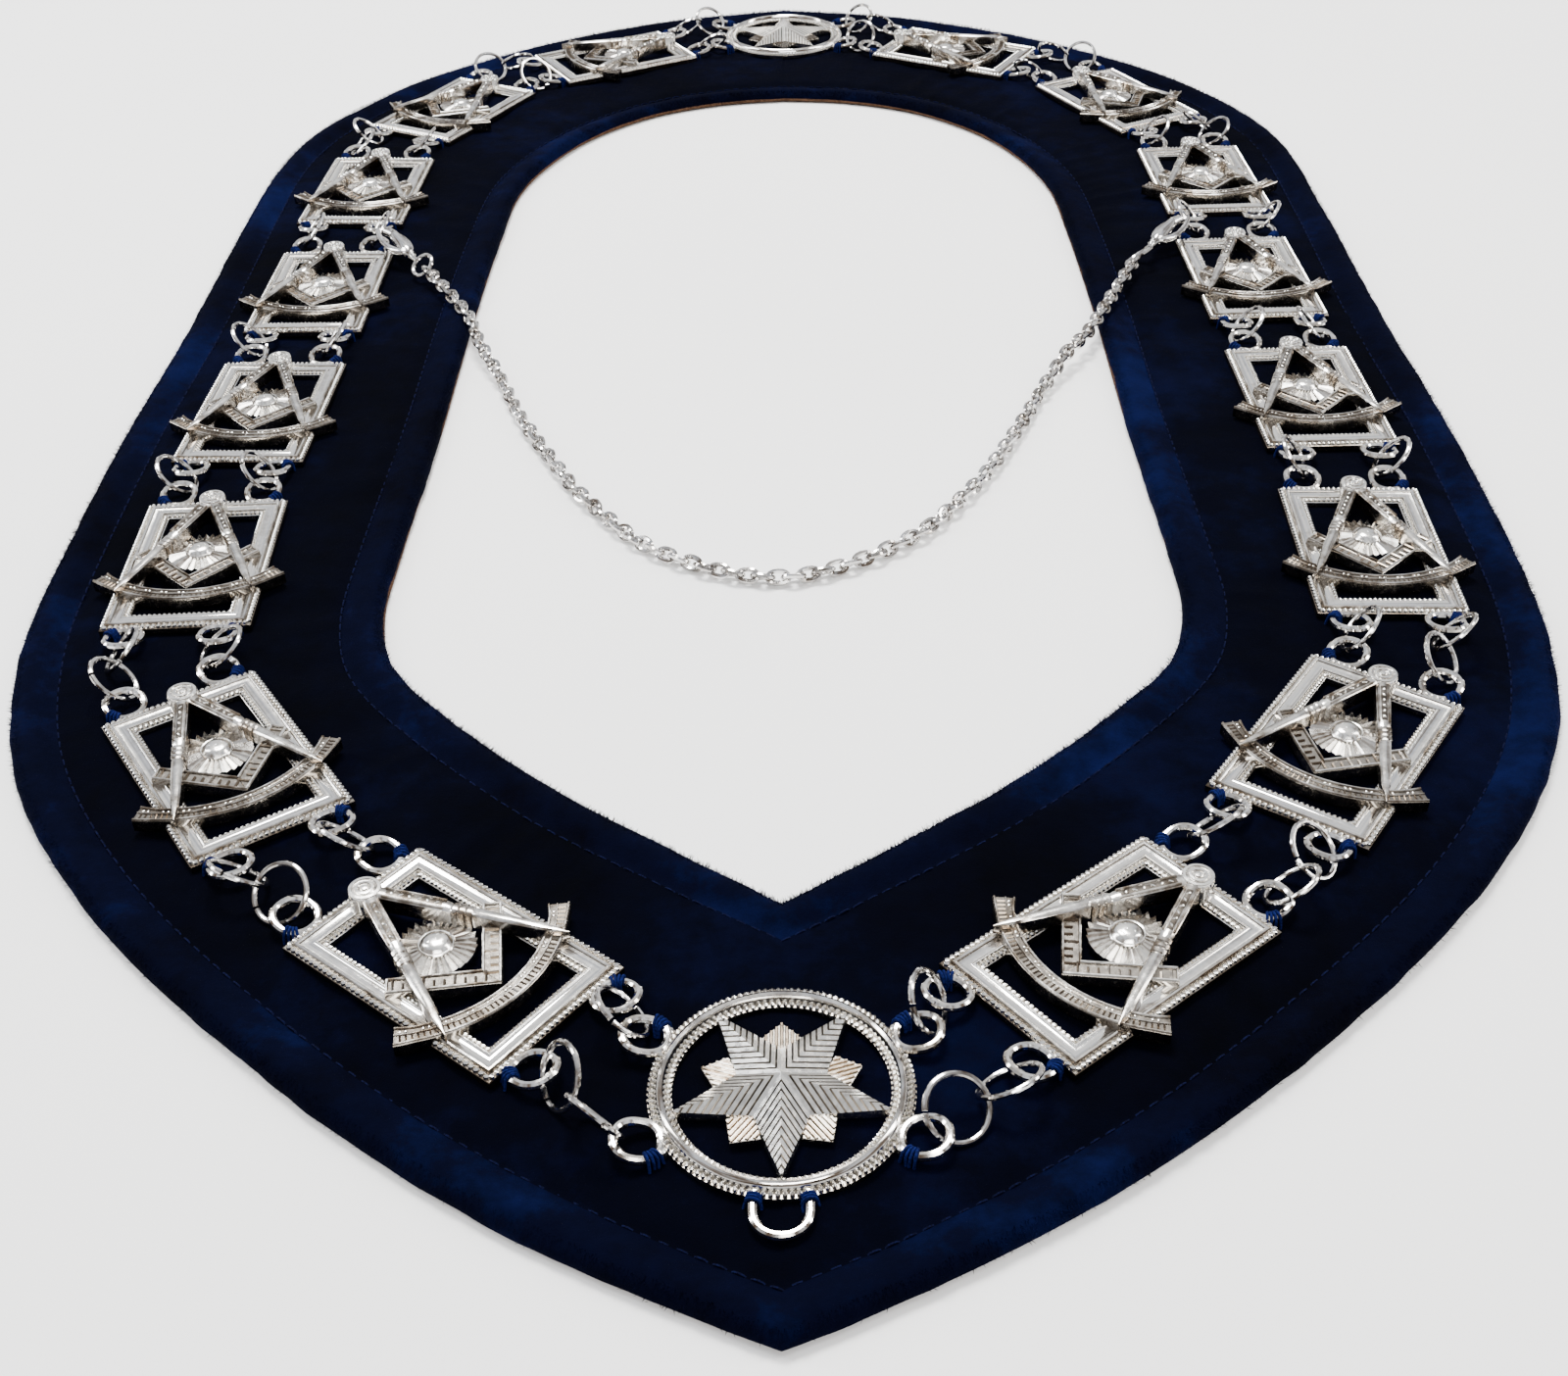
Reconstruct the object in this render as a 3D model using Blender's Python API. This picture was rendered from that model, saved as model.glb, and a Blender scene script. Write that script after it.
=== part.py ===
"""A masonic chain collar lying flat: a padded velvet band that carries a chain of
sixteen cast links and two star medallions, joined by jump rings, and a fine
safety chain with a lobster clasp at each end across the neck opening.

Metres, +Z up. The origin is on the surface that the collar lies on, at the
middle of its outline. The front point is at -Y and the back of the neck at +Y.
"""

import math

import bmesh
import bpy
import numpy as np
from mathutils import Matrix, Vector

# Driving sizes of the velvet band
BAND_WIDTH = 0.0730
CLOTH_THICKNESS = 0.0020
ROLL_HEIGHT = 0.0030
ROLL_WIDTH = 0.0085
STITCH_DIP = 0.0003
EDGE_ROUND = 0.0009

# Driving sizes of a cast link
LINKS_PER_SIDE = 8
LINK_LENGTH = 0.0470
LINK_WIDTH = 0.0300
FRAME_BORDER = 0.0052
FRAME_THICKNESS = 0.0020
FRAME_INNER_HEIGHT = 0.0012
LINK_LIFT = 0.0009

# Driving sizes of the compasses, square, arc and sun on a link
HINGE_RADIUS = 0.0028
HINGE_INSET = 0.0036
HINGE_TOP = 0.0053
LEG_TIP_TOP = 0.0043
LEG_SPREAD = 0.0133
LEG_DROP = 0.0122
LEG_WIDTH = 0.0026
LEG_POINT_WIDTH = 0.0012
LEG_BASE = 0.0017
SQUARE_ARM = 0.0182
SQUARE_WIDTH = 0.0031
SQUARE_DROP = 0.0114
SQUARE_BASE = 0.0014
SQUARE_TOP = 0.0030
ARC_RADIUS = 0.0254
ARC_WIDTH = 0.0032
ARC_DROP = 0.0140
ARC_HALF_ANGLE = 45.5
ARC_BASE = 0.0016
ARC_TOP = 0.0031
SUN_RADIUS = 0.0065
SUN_RISE = 0.0035
SUN_BASE = 0.0008
SUN_TOP = 0.0021
SUN_DOME_TOP = 0.0033

# Driving sizes of the loops that are cast on the links and stars
LOOP_REACH = 0.0078
LOOP_WIDTH = 0.0084
LOOP_WIRE = 0.0015
LOOP_OFFSET = 0.0092
LOOP_FOOT_HEIGHT = 0.0009
LOOP_BAR_HEIGHT = 0.0023
LOOP_FOOT_DEPTH = 0.0006

# Driving sizes of the star medallions
STAR_DIAMETER = 0.0400
STAR_RIM_WIDTH = 0.0037
STAR_RIM_THICKNESS = 0.0024
STAR_EDGE_HEIGHT = 0.0014
STAR_POINT_OVERLAP = 0.0007
STAR_NOTCH_RADIUS = 0.0071
STAR_BASE = 0.0004
STAR_APEX = 0.0044
STAR_NOTCH_TOP = 0.0016
STAR_TIP_TOP = 0.0021
DIAMOND_RADIUS = 0.0095
DIAMOND_HALF = 0.0032
DIAMOND_BASE = 0.0006
DIAMOND_TOP = 0.0014
STAR_LOOP_SIDE = 0.0100
STAR_LOOP_REACH = 0.0077
JEWEL_LOOP_WIDTH = 0.0096
JEWEL_LOOP_REACH = 0.0062

# Driving sizes of the jump rings
RING_DIAMETER = 0.0110
RING_WIRE = 0.0010
RING_SPAN = 0.0034
REST_GAP = 0.0003
RING_SIDES = 10
RING_WIRE_SIDES = 5
LOOP_WIRE_SIDES = 4

# Driving sizes of the clasps and the safety chain
CLASP_LENGTH = 0.0180
CLASP_WIDTH = 0.0066
CLASP_WIRE = 0.0015
CLASP_BODY = 0.0024
CLASP_NECK = 0.0045
CLASP_SLOPE = 4.0
CLASP_RING_DIAMETER = 0.0074
CLASP_RING_WIRE = 0.0012
CHAIN_THICKNESS = 0.0030

# The room between two links, and the chain's length from star to star, to which
# the collar is cut
LINK_GAP = 2 * LOOP_REACH + RING_SPAN
CHAIN_RUN = STAR_DIAMETER + LINKS_PER_SIDE * LINK_LENGTH + (LINKS_PER_SIDE + 1) * LINK_GAP
LINK_FLOOR = CLOTH_THICKNESS + LINK_LIFT

# The neck opening's edge, from the back of the neck to the front point, and the
# band laid out from it: sideways and forward of the middle as shares of
# CHAIN_RUN, the way across the band in degrees from +X, and its width as a
# share of BAND_WIDTH
BAND_SECTIONS = (
    # side, forward, bearing, width
    (0.0000, 0.3182, 90.0, 1.153),
    (0.0341, 0.3131, 78.5, 1.101),
    (0.0681, 0.2981, 67.4, 1.068),
    (0.0971, 0.2709, 54.9, 1.071),
    (0.1175, 0.2368, 39.4, 1.099),
    (0.1312, 0.1925, 27.2, 1.109),
    (0.1346, 0.1363, 11.5, 1.034),
    (0.1363, 0.0511, 0.0, 0.993),
    (0.1363, -0.0426, -3.9, 1.016),
    (0.1380, -0.1363, -6.3, 0.992),
    (0.1371, -0.1755, -14.6, 0.977),
    (0.1278, -0.2061, -26.6, 0.981),
    (0.1022, -0.2368, -39.5, 1.012),
    (0.0681, -0.2692, -56.1, 1.031),
    (0.0341, -0.2947, -74.1, 1.097),
    (0.0000, -0.3194, -90.0, 1.144),
)

# Where each link lies, from the front star to the back one: its middle as
# shares of CHAIN_RUN and its turn about +Z in degrees, for the left and the
# right side as the collar is seen from its front
LINK_PLACES = (
    # left x, left y, left turn, right x, right y, right turn
    (-0.0899, -0.3426, 51.9, 0.0898, -0.3422, -51.4),
    (-0.1720, -0.2578, 34.2, 0.1711, -0.2570, -35.3),
    (-0.2082, -0.1455, 2.9, 0.2077, -0.1474, -2.2),
    (-0.2095, -0.0354, -1.5, 0.2106, -0.0356, 1.2),
    (-0.2072, 0.0738, -0.7, 0.2083, 0.0739, 1.4),
    (-0.2061, 0.1871, -2.6, 0.2072, 0.1850, 2.2),
    (-0.1782, 0.2964, -28.0, 0.1796, 0.2945, 27.8),
    (-0.0971, 0.3755, -61.0, 0.0981, 0.3748, 60.8),
)
FRONT_STAR_Y = -0.3896
BACK_STAR_Y = 0.4088

# How each strand of jump rings lies, from the front star to the back one: the
# lean in degrees about the strand that the first ring starts from, a plus sign
# with the collar's outer side raised. A second ring leans the other way.
STRANDS = (
    # left inner, left outer, right inner, right outer
    (42, 42, -48, -42),
    (44, -42, 46, 42),
    (-46, 42, 44, -42),
    (52, 46, -52, 48),
    (-50, 46, 50, -46),
    (-46, -50, -46, 50),
    (-44, -42, 48, 42),
    (50, 42, -50, 42),
    (-46, -42, 46, -42),
)
# The longest strand that one ring spans, between the middles of the two bars
SINGLE_SPAN = RING_DIAMETER - LOOP_WIRE - 2 * RING_WIRE - 2 * REST_GAP
CLASP_STRAND = 5

# The safety chain's route between the two clasps' rings, by hand, as shares of
# CHAIN_RUN, with its height above the surface in metres
CHAIN_ROUTE = (
    # x, y, height
    (-0.1380, 0.0470, 0.0047),
    (-0.1290, 0.0200, 0.0047),
    (-0.1160, -0.0080, 0.0019),
    (-0.1070, -0.0330, 0.0017),
    (-0.0930, -0.0640, 0.0017),
    (-0.0740, -0.1000, 0.0017),
    (-0.0440, -0.1370, 0.0017),
    (0.0000, -0.1540, 0.0017),
    (0.0430, -0.1330, 0.0017),
    (0.0720, -0.0950, 0.0017),
    (0.0910, -0.0560, 0.0017),
    (0.1060, -0.0200, 0.0018),
    (0.1200, 0.0060, 0.0047),
    (0.1300, 0.0220, 0.0047),
)
CHAIN_POINTS = 28
# The way that each clasp lies from its hook, in degrees from +X: left, right
CLASP_BEARINGS = (-53.0, -129.0)


def make_material(name, colour, roughness, metallic):
    """A plain Principled material."""
    material = bpy.data.materials.new(name)
    material.use_nodes = True
    shader = material.node_tree.nodes["Principled BSDF"]
    shader.inputs["Base Color"].default_value = (*colour, 1.0)
    shader.inputs["Roughness"].default_value = roughness
    shader.inputs["Metallic"].default_value = metallic
    return material


def make_mesh(name, points, faces):
    """A mesh from points and faces, its faces turned outward."""
    mesh = bpy.data.meshes.new(name)
    mesh.from_pydata([tuple(point) for point in points], [], faces)
    shell = bmesh.new()
    shell.from_mesh(mesh)
    bmesh.ops.recalc_face_normals(shell, faces=shell.faces)
    shell.to_mesh(mesh)
    shell.free()
    mesh.update()
    return mesh


def place(name, mesh, material, matrix=None):
    """An object of its own for a mesh, set at a matrix."""
    piece = bpy.data.objects.new(name, mesh)
    if matrix is not None:
        piece.matrix_world = matrix
    if material is not None:
        mesh.materials.clear()
        mesh.materials.append(material)
    bpy.context.scene.collection.objects.link(piece)
    return piece


def rings_mesh(name, rings, closed):
    """Bridge rings of points: into a closed loop, or into a body with two caps."""
    count = len(rings)
    sides = len(rings[0])
    points = [point for ring in rings for point in ring]
    faces = []
    for row in range(count if closed else count - 1):
        following = (row + 1) % count
        for side in range(sides):
            beside = (side + 1) % sides
            faces.append((row * sides + side, row * sides + beside,
                          following * sides + beside, following * sides + side))
    if not closed:
        faces.append(tuple(range(sides)))
        faces.append(tuple(range((count - 1) * sides, count * sides)))
    return make_mesh(name, points, faces)


def prism_mesh(name, outline, base, tops):
    """An upright prism over a flat outline, each corner with its own top height."""
    lower = [Vector((x, y, base)) for x, y in outline]
    upper = [Vector((x, y, top)) for (x, y), top in zip(outline, tops)]
    return rings_mesh(name, [lower, upper], False)


def turned_mesh(name, profile, segments):
    """A body turned about Z from a profile that starts and ends on the axis."""
    points = [Vector((0.0, 0.0, profile[0][1]))]
    for radius, height in profile[1:-1]:
        for step in range(segments):
            angle = 2 * math.pi * step / segments
            points.append(Vector((radius * math.cos(angle), radius * math.sin(angle), height)))
    points.append(Vector((0.0, 0.0, profile[-1][1])))
    faces = []
    last = len(points) - 1
    rows = len(profile) - 2
    for step in range(segments):
        beside = (step + 1) % segments
        faces.append((0, 1 + beside, 1 + step))
        for row in range(rows - 1):
            near = 1 + row * segments
            far = near + segments
            faces.append((near + step, near + beside, far + beside, far + step))
        top = 1 + (rows - 1) * segments
        faces.append((top + step, top + beside, last))
    return make_mesh(name, points, faces)


def tube_rings(path, radius, sides, up=Vector((0.0, 0.0, 1.0)), closed=False):
    """Mitred rings of points around a path, one corner of each on its inner side."""
    rings = []
    count = len(path)
    for index, point in enumerate(path):
        first = index == 0 and not closed
        last = index == count - 1 and not closed
        arriving = (path[1] - point if first else point - path[index - 1]).normalized()
        leaving = arriving if last else (path[(index + 1) % count] - point).normalized()
        ahead = (arriving + leaving).normalized()
        across = ahead.cross(up).normalized() / max(ahead.dot(leaving), 0.5)
        rise = across.cross(ahead).normalized()
        ring = []
        for side in range(sides):
            angle = math.pi + 2 * math.pi * side / sides
            ring.append(point + radius * (math.cos(angle) * across + math.sin(angle) * rise))
        rings.append(ring)
    return rings


def union_mesh(name, meshes):
    """One mesh from several that overlap, joined with Boolean unions."""
    base = place(name + "_base", meshes[0], None)
    helpers = []
    for number, mesh in enumerate(meshes[1:]):
        helper = place(name + "_piece_%d" % number, mesh, None)
        helper.hide_render = True
        helper.display_type = "WIRE"
        joined = base.modifiers.new("join_%d" % number, "BOOLEAN")
        joined.operation = "UNION"
        joined.solver = "EXACT"
        joined.object = helper
        helpers.append(helper)
    graph = bpy.context.evaluated_depsgraph_get()
    result = bpy.data.meshes.new_from_object(base.evaluated_get(graph))
    result.name = name
    for helper in helpers:
        bpy.data.objects.remove(helper)
    bpy.data.objects.remove(base)
    shell = bmesh.new()
    shell.from_mesh(result)
    bmesh.ops.remove_doubles(shell, verts=shell.verts, dist=0.000002)
    bmesh.ops.dissolve_degenerate(shell, dist=0.000001, edges=shell.edges)
    bmesh.ops.dissolve_limit(shell, angle_limit=0.07, verts=shell.verts, edges=shell.edges)
    bmesh.ops.triangulate(shell, faces=shell.faces)
    bmesh.ops.recalc_face_normals(shell, faces=shell.faces)
    shell.to_mesh(result)
    shell.free()
    return result


def smooth_rows(rows, steps):
    """A smooth curve through rows of values, with steps to each stretch."""
    curve = []
    last = len(rows) - 1
    for index in range(last):
        before = rows[max(index - 1, 0)]
        start = rows[index]
        end = rows[index + 1]
        after = rows[min(index + 2, last)]
        for step in range(steps):
            t = step / steps
            row = []
            for a, b, c, d in zip(before, start, end, after):
                row.append(0.5 * (2 * b + (c - a) * t + (2 * a - 5 * b + 4 * c - d) * t * t
                                  + (3 * b - a - 3 * c + d) * t ** 3))
            curve.append(row)
    curve.append(list(rows[last]))
    return curve


def loop_path(width, reach, foot_height, bar_height):
    """The middle line of a cast loop that stands out along +Y from an edge."""
    half = width / 2 - LOOP_WIRE / 2
    end = reach - LOOP_WIRE / 2
    shoulder = end - half * 1.05
    corner = half * 0.48

    def height(y):
        return foot_height + (bar_height - foot_height) * max(y, 0.0) / end

    flat = ((-half, -LOOP_FOOT_DEPTH), (-half, shoulder), (-corner, end),
            (corner, end), (half, shoulder), (half, -LOOP_FOOT_DEPTH))
    return [Vector((x, y, height(y))) for x, y in flat]


def loop_mesh(name, width, reach, foot_height, bar_height, matrix):
    """A cast loop of round wire, set at a matrix."""
    path = [matrix @ point for point in loop_path(width, reach, foot_height, bar_height)]
    return rings_mesh(name, tube_rings(path, LOOP_WIRE / 2, LOOP_WIRE_SIDES), False)


def velvet_mesh():
    """The band: a closed loop of cross-sections with rolled, stitched edges."""
    half = []
    for side, forward, bearing, width in smooth_rows(BAND_SECTIONS, 2):
        inner = Vector((side * CHAIN_RUN, forward * CHAIN_RUN, 0.0))
        across = Vector((math.cos(math.radians(bearing)), math.sin(math.radians(bearing)), 0.0))
        half.append((inner, across, width * BAND_WIDTH))
    mirrored = []
    for inner, across, width in half[-2:0:-1]:
        mirrored.append((Vector((-inner.x, inner.y, 0.0)), Vector((-across.x, across.y, 0.0)), width))
    rings = []
    crest = ROLL_WIDTH * 0.3
    for inner, across, width in half + mirrored:
        profile = (
            (EDGE_ROUND, 0.0), (0.0, ROLL_HEIGHT * 0.4), (crest, ROLL_HEIGHT),
            (ROLL_WIDTH, CLOTH_THICKNESS - STITCH_DIP),
            (width - ROLL_WIDTH, CLOTH_THICKNESS - STITCH_DIP),
            (width - crest, ROLL_HEIGHT), (width, ROLL_HEIGHT * 0.4), (width - EDGE_ROUND, 0.0),
        )
        rings.append([inner + across * along + Vector((0.0, 0.0, height)) for along, height in profile])
    return rings_mesh("velvet_collar", rings, True)


def frame_mesh():
    """A link's rectangular frame: mitred moulding around an open window."""
    profile = (
        (0.0, 0.0), (0.0, FRAME_THICKNESS), (FRAME_BORDER, FRAME_INNER_HEIGHT), (FRAME_BORDER, 0.0),
    )
    rings = []
    for sign_x, sign_y in ((-1, -1), (1, -1), (1, 1), (-1, 1)):
        ring = []
        for inset, height in profile:
            ring.append(Vector((sign_x * (LINK_WIDTH / 2 - inset), sign_y * (LINK_LENGTH / 2 - inset), height)))
        rings.append(ring)
    return rings_mesh("frame", rings, True)


def compasses_mesh():
    """The compasses: a hinge head and two legs that slope down to their points."""
    hinge = Vector((0.0, LINK_LENGTH / 2 - HINGE_INSET))
    point = Vector((LEG_SPREAD, -LEG_DROP))
    along = (point - hinge).normalized()
    across = Vector((-along.y, along.x))
    outer = hinge + across * LEG_WIDTH / 2
    crotch = hinge - Vector((0.0, LEG_WIDTH / 2 / abs(across.y)))
    half = (
        (HINGE_RADIUS * 0.42, hinge.y + HINGE_RADIUS, HINGE_TOP),
        (HINGE_RADIUS, hinge.y + HINGE_RADIUS * 0.42, HINGE_TOP),
        (outer.x + along.x * HINGE_RADIUS, outer.y + along.y * HINGE_RADIUS, HINGE_TOP),
        (point.x + across.x * LEG_POINT_WIDTH / 2, point.y + across.y * LEG_POINT_WIDTH / 2, LEG_TIP_TOP),
        (point.x - across.x * LEG_POINT_WIDTH / 2, point.y - across.y * LEG_POINT_WIDTH / 2, LEG_TIP_TOP),
    )
    rows = list(half) + [(0.0, crotch.y, HINGE_TOP)] + [(-x, y, top) for x, y, top in half[::-1]]
    return prism_mesh("compasses", [row[:2] for row in rows], LEG_BASE, [row[2] for row in rows])


def square_mesh():
    """The square: two arms that meet at a right angle."""
    slope = math.sqrt(0.5)
    reach = SQUARE_ARM * slope
    step = SQUARE_WIDTH * slope
    corner = -SQUARE_DROP
    outline = (
        (0.0, corner), (reach, corner + reach), (reach - step, corner + reach + step),
        (0.0, corner + 2 * step), (step - reach, corner + reach + step), (-reach, corner + reach),
    )
    return prism_mesh("square", outline, SQUARE_BASE, [SQUARE_TOP] * 6)


def arc_mesh():
    """The graduated arc: a curved bar whose ends pass the frame's sides."""
    middle = ARC_RADIUS - ARC_DROP
    steps = 4
    rings = []
    for step in range(steps + 1):
        angle = math.radians(-90 - ARC_HALF_ANGLE + 2 * ARC_HALF_ANGLE * step / steps)
        ring = []
        for radius, height in ((ARC_RADIUS - ARC_WIDTH / 2, ARC_BASE),
                               (ARC_RADIUS + ARC_WIDTH / 2, ARC_BASE),
                               (ARC_RADIUS + ARC_WIDTH / 2, ARC_TOP),
                               (ARC_RADIUS - ARC_WIDTH / 2, ARC_TOP)):
            ring.append(Vector((radius * math.cos(angle), middle + radius * math.sin(angle), height)))
        rings.append(ring)
    return rings_mesh("arc", rings, False)


def shift_mesh(mesh, x, y, z=0.0):
    """Move a mesh's points."""
    mesh.transform(Matrix.Translation((x, y, z)))
    return mesh


def link_mesh():
    """A cast link: frame, compasses, square, arc, sun and four loops in one."""
    sun = turned_mesh("sun", ((0.0, SUN_BASE), (SUN_RADIUS, SUN_BASE),
                              (SUN_RADIUS, SUN_TOP), (0.0, SUN_DOME_TOP)), 8)
    meshes = [frame_mesh(), square_mesh(), arc_mesh(), shift_mesh(sun, 0.0, SUN_RISE), compasses_mesh()]
    for end in (-1, 1):
        for side in (-1, 1):
            matrix = link_loop_matrix(end, side)
            meshes.append(loop_mesh("loop", LOOP_WIDTH, LOOP_REACH, LOOP_FOOT_HEIGHT, LOOP_BAR_HEIGHT, matrix))
    return union_mesh("link", meshes)


def link_loop_matrix(end, side):
    """Where a link's loop stands: on its back (+1) or front (-1) end."""
    turn = Matrix.Rotation(0.0 if end > 0 else math.pi, 4, "Z")
    return Matrix.Translation((side * LOOP_OFFSET, end * LINK_LENGTH / 2, 0.0)) @ turn


def star_loop_matrix(side, row):
    """Where a star's side loop stands: left (-1) or right (+1), forward or back."""
    radius = STAR_DIAMETER / 2
    foot = math.sqrt(radius ** 2 - STAR_LOOP_SIDE ** 2)
    turn = Matrix.Rotation(-side * math.pi / 2, 4, "Z")
    return Matrix.Translation((side * foot, row * STAR_LOOP_SIDE, 0.0)) @ turn


def rim_mesh():
    """The star's round rim."""
    outer = STAR_DIAMETER / 2
    inner = outer - STAR_RIM_WIDTH
    profile = (
        (outer, 0.0), (outer, STAR_EDGE_HEIGHT), (outer - STAR_RIM_WIDTH * 0.5, STAR_RIM_THICKNESS),
        (inner, 0.0),
    )
    rings = []
    segments = 20
    for step in range(segments):
        angle = 2 * math.pi * step / segments
        rings.append([Vector((r * math.cos(angle), r * math.sin(angle), z)) for r, z in profile])
    return rings_mesh("rim", rings, True)


def five_point_mesh(point_way):
    """The faceted star, one point along +Y or -Y, its points on the rim."""
    tip_radius = STAR_DIAMETER / 2 - STAR_RIM_WIDTH + STAR_POINT_OVERLAP
    corners = []
    for step in range(10):
        angle = point_way * math.pi / 2 + math.pi * step / 5
        radius = tip_radius if step % 2 == 0 else STAR_NOTCH_RADIUS
        top = STAR_TIP_TOP if step % 2 == 0 else STAR_NOTCH_TOP
        corners.append((radius * math.cos(angle), radius * math.sin(angle), top))
    points = [Vector((x, y, STAR_BASE)) for x, y, top in corners]
    points += [Vector(corner) for corner in corners]
    points.append(Vector((0.0, 0.0, STAR_APEX)))
    faces = [tuple(range(10))]
    for step in range(10):
        beside = (step + 1) % 10
        faces.append((step, beside, 10 + beside, 10 + step))
        faces.append((10 + step, 10 + beside, 20))
    return make_mesh("five_point", points, faces)


def diamond_mesh(angle):
    """A small blunt diamond between two points of the star."""
    outline = []
    for quarter in range(4):
        bearing = angle + quarter * math.pi / 2
        outline.append((DIAMOND_RADIUS * math.cos(angle) + DIAMOND_HALF * math.cos(bearing),
                        DIAMOND_RADIUS * math.sin(angle) + DIAMOND_HALF * math.sin(bearing)))
    return prism_mesh("diamond", outline, DIAMOND_BASE, [DIAMOND_TOP] * 4)


def star_mesh(name, point_way, has_jewel_loop):
    """A star medallion with its loops, all cast in one."""
    meshes = [rim_mesh(), five_point_mesh(point_way)]
    for number in range(5):
        meshes.append(diamond_mesh(-point_way * math.pi / 2 + 2 * math.pi * number / 5))
    for side in (-1, 1):
        for row in (-1, 1):
            meshes.append(loop_mesh("loop", LOOP_WIDTH, STAR_LOOP_REACH, LOOP_FOOT_HEIGHT,
                                    LOOP_BAR_HEIGHT, star_loop_matrix(side, row)))
    if has_jewel_loop:
        matrix = Matrix.Rotation(math.pi, 4, "Z") @ Matrix.Translation((0.0, STAR_DIAMETER / 2, 0.0))
        meshes.append(loop_mesh("loop", JEWEL_LOOP_WIDTH, JEWEL_LOOP_REACH + LOOP_WIRE / 2,
                                LOOP_FOOT_HEIGHT, LOOP_FOOT_HEIGHT, matrix))
    return union_mesh(name, meshes)


def link_matrix(side, number):
    """Where a link lies, counted from the front star."""
    row = LINK_PLACES[number]
    x, y, turn = row[:3] if side < 0 else row[3:]
    return (Matrix.Translation((x * CHAIN_RUN, y * CHAIN_RUN, LINK_FLOOR))
            @ Matrix.Rotation(math.radians(turn), 4, "Z"))


def star_matrix(share):
    """Where a star lies."""
    return Matrix.Translation((0.0, share * CHAIN_RUN, LINK_FLOOR))


def strand_posts(side, gap, strand):
    """What a strand's rings pass through and keep clear of at each end: a loop's
    matrix and reach, and the matrix of the link or star behind it."""
    if gap == 0:
        body = star_matrix(FRONT_STAR_Y)
        front = (body @ star_loop_matrix(side, -strand), STAR_LOOP_REACH, body, True)
    else:
        body = link_matrix(side, gap - 1)
        front = (body @ link_loop_matrix(1, strand * side), LOOP_REACH, body, False)
    if gap == LINKS_PER_SIDE:
        body = star_matrix(BACK_STAR_Y)
        back = (body @ star_loop_matrix(side, strand), STAR_LOOP_REACH, body, True)
    else:
        body = link_matrix(side, gap)
        back = (body @ link_loop_matrix(-1, strand * side), LOOP_REACH, body, False)
    return front, back


def strand_ends(side, gap, strand):
    """The points of the two loops that a strand pulls on, front one first: the
    nearest ones, kept toward the middle of each loop's bar."""
    sides = []
    for loop_matrix, reach, _, _ in strand_posts(side, gap, strand):
        path = loop_path(LOOP_WIDTH, reach, LOOP_FOOT_HEIGHT, LOOP_BAR_HEIGHT)[1:5]
        points = []
        for start, end in zip(path, path[1:]):
            for step in range(4):
                point = start.lerp(end, step / 4)
                points.append((loop_matrix @ point, abs(point.x)))
        sides.append(points)
    best = None
    for start, start_off in sides[0]:
        for end, end_off in sides[1]:
            cost = (end - start).length + 0.3 * (start_off + end_off)
            if best is None or cost < best[0]:
                best = (cost, start, end)
    return best[1], best[2]


def seen_from(matrix, points):
    """Points in a matrix's own frame, one row each."""
    inverse = np.array(matrix.inverted())
    return points @ inverse[:3, :3].T + inverse[:3, 3]


def ring_corners():
    """The corners of a ring's wire in its own plane, set out so that its sides
    and corners lie either side of the true circle."""
    radius = (RING_DIAMETER - RING_WIRE) / 2 * 2 / (1 + math.cos(math.pi / RING_SIDES))
    angles = [2 * math.pi * step / RING_SIDES for step in range(RING_SIDES)]
    return [Vector((radius * math.cos(angle), radius * math.sin(angle), 0.0)) for angle in angles]


def ring_room(matrix, post):
    """The room in metres between a ring and one post, and whether it passes
    through the post's loop."""
    loop_matrix, reach, body_matrix, is_star = post
    corners = ring_corners()
    flat = np.array([tuple(start.lerp(end, step / 5))
                     for start, end in zip(corners, corners[1:] + corners[:1]) for step in range(5)])
    placed = np.array(matrix)
    world = flat @ placed[:3, :3].T + placed[:3, 3]
    local = seen_from(loop_matrix, world)
    path = np.array([tuple(p) for p in loop_path(LOOP_WIDTH, reach, LOOP_FOOT_HEIGHT, LOOP_BAR_HEIGHT)])
    room = 1.0
    for start, end in zip(path[:-1], path[1:]):
        along = end - start
        share = np.clip((local - start) @ along / (along @ along), 0, 1)
        apart = np.linalg.norm(local - start - share[:, None] * along, axis=1)
        room = min(room, float(apart.min()))
    room -= (LOOP_WIRE + RING_WIRE) / 2
    body = seen_from(body_matrix, world)
    if is_star:
        outside = np.hypot(body[:, 0], body[:, 1]) - STAR_DIAMETER / 2
        top = STAR_RIM_THICKNESS
    else:
        beyond = np.maximum(np.abs(body[:, :2]) - (LINK_WIDTH / 2, LINK_LENGTH / 2), 0)
        outside = np.hypot(beyond[:, 0], beyond[:, 1])
        top = FRAME_THICKNESS
    above = np.maximum(body[:, 2] - top, 0)
    outside = np.hypot(np.maximum(outside, 0), above)
    room = min(room, float(outside.min()) - RING_WIRE / 2)
    end = reach - LOOP_WIRE / 2
    over = local[:, 2] - LOOP_FOOT_HEIGHT - (LOOP_BAR_HEIGHT - LOOP_FOOT_HEIGHT) * local[:, 1] / end
    passes = 0
    for index in range(len(flat)):
        following = (index + 1) % len(flat)
        if over[index] * over[following] < 0:
            share = over[index] / (over[index] - over[following])
            x, y = (local[index] + share * (local[following] - local[index]))[:2]
            if abs(x) < LOOP_WIDTH / 2 - LOOP_WIRE / 2 and 0 < y < end:
                passes += 1
    return room, passes == 1


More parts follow.
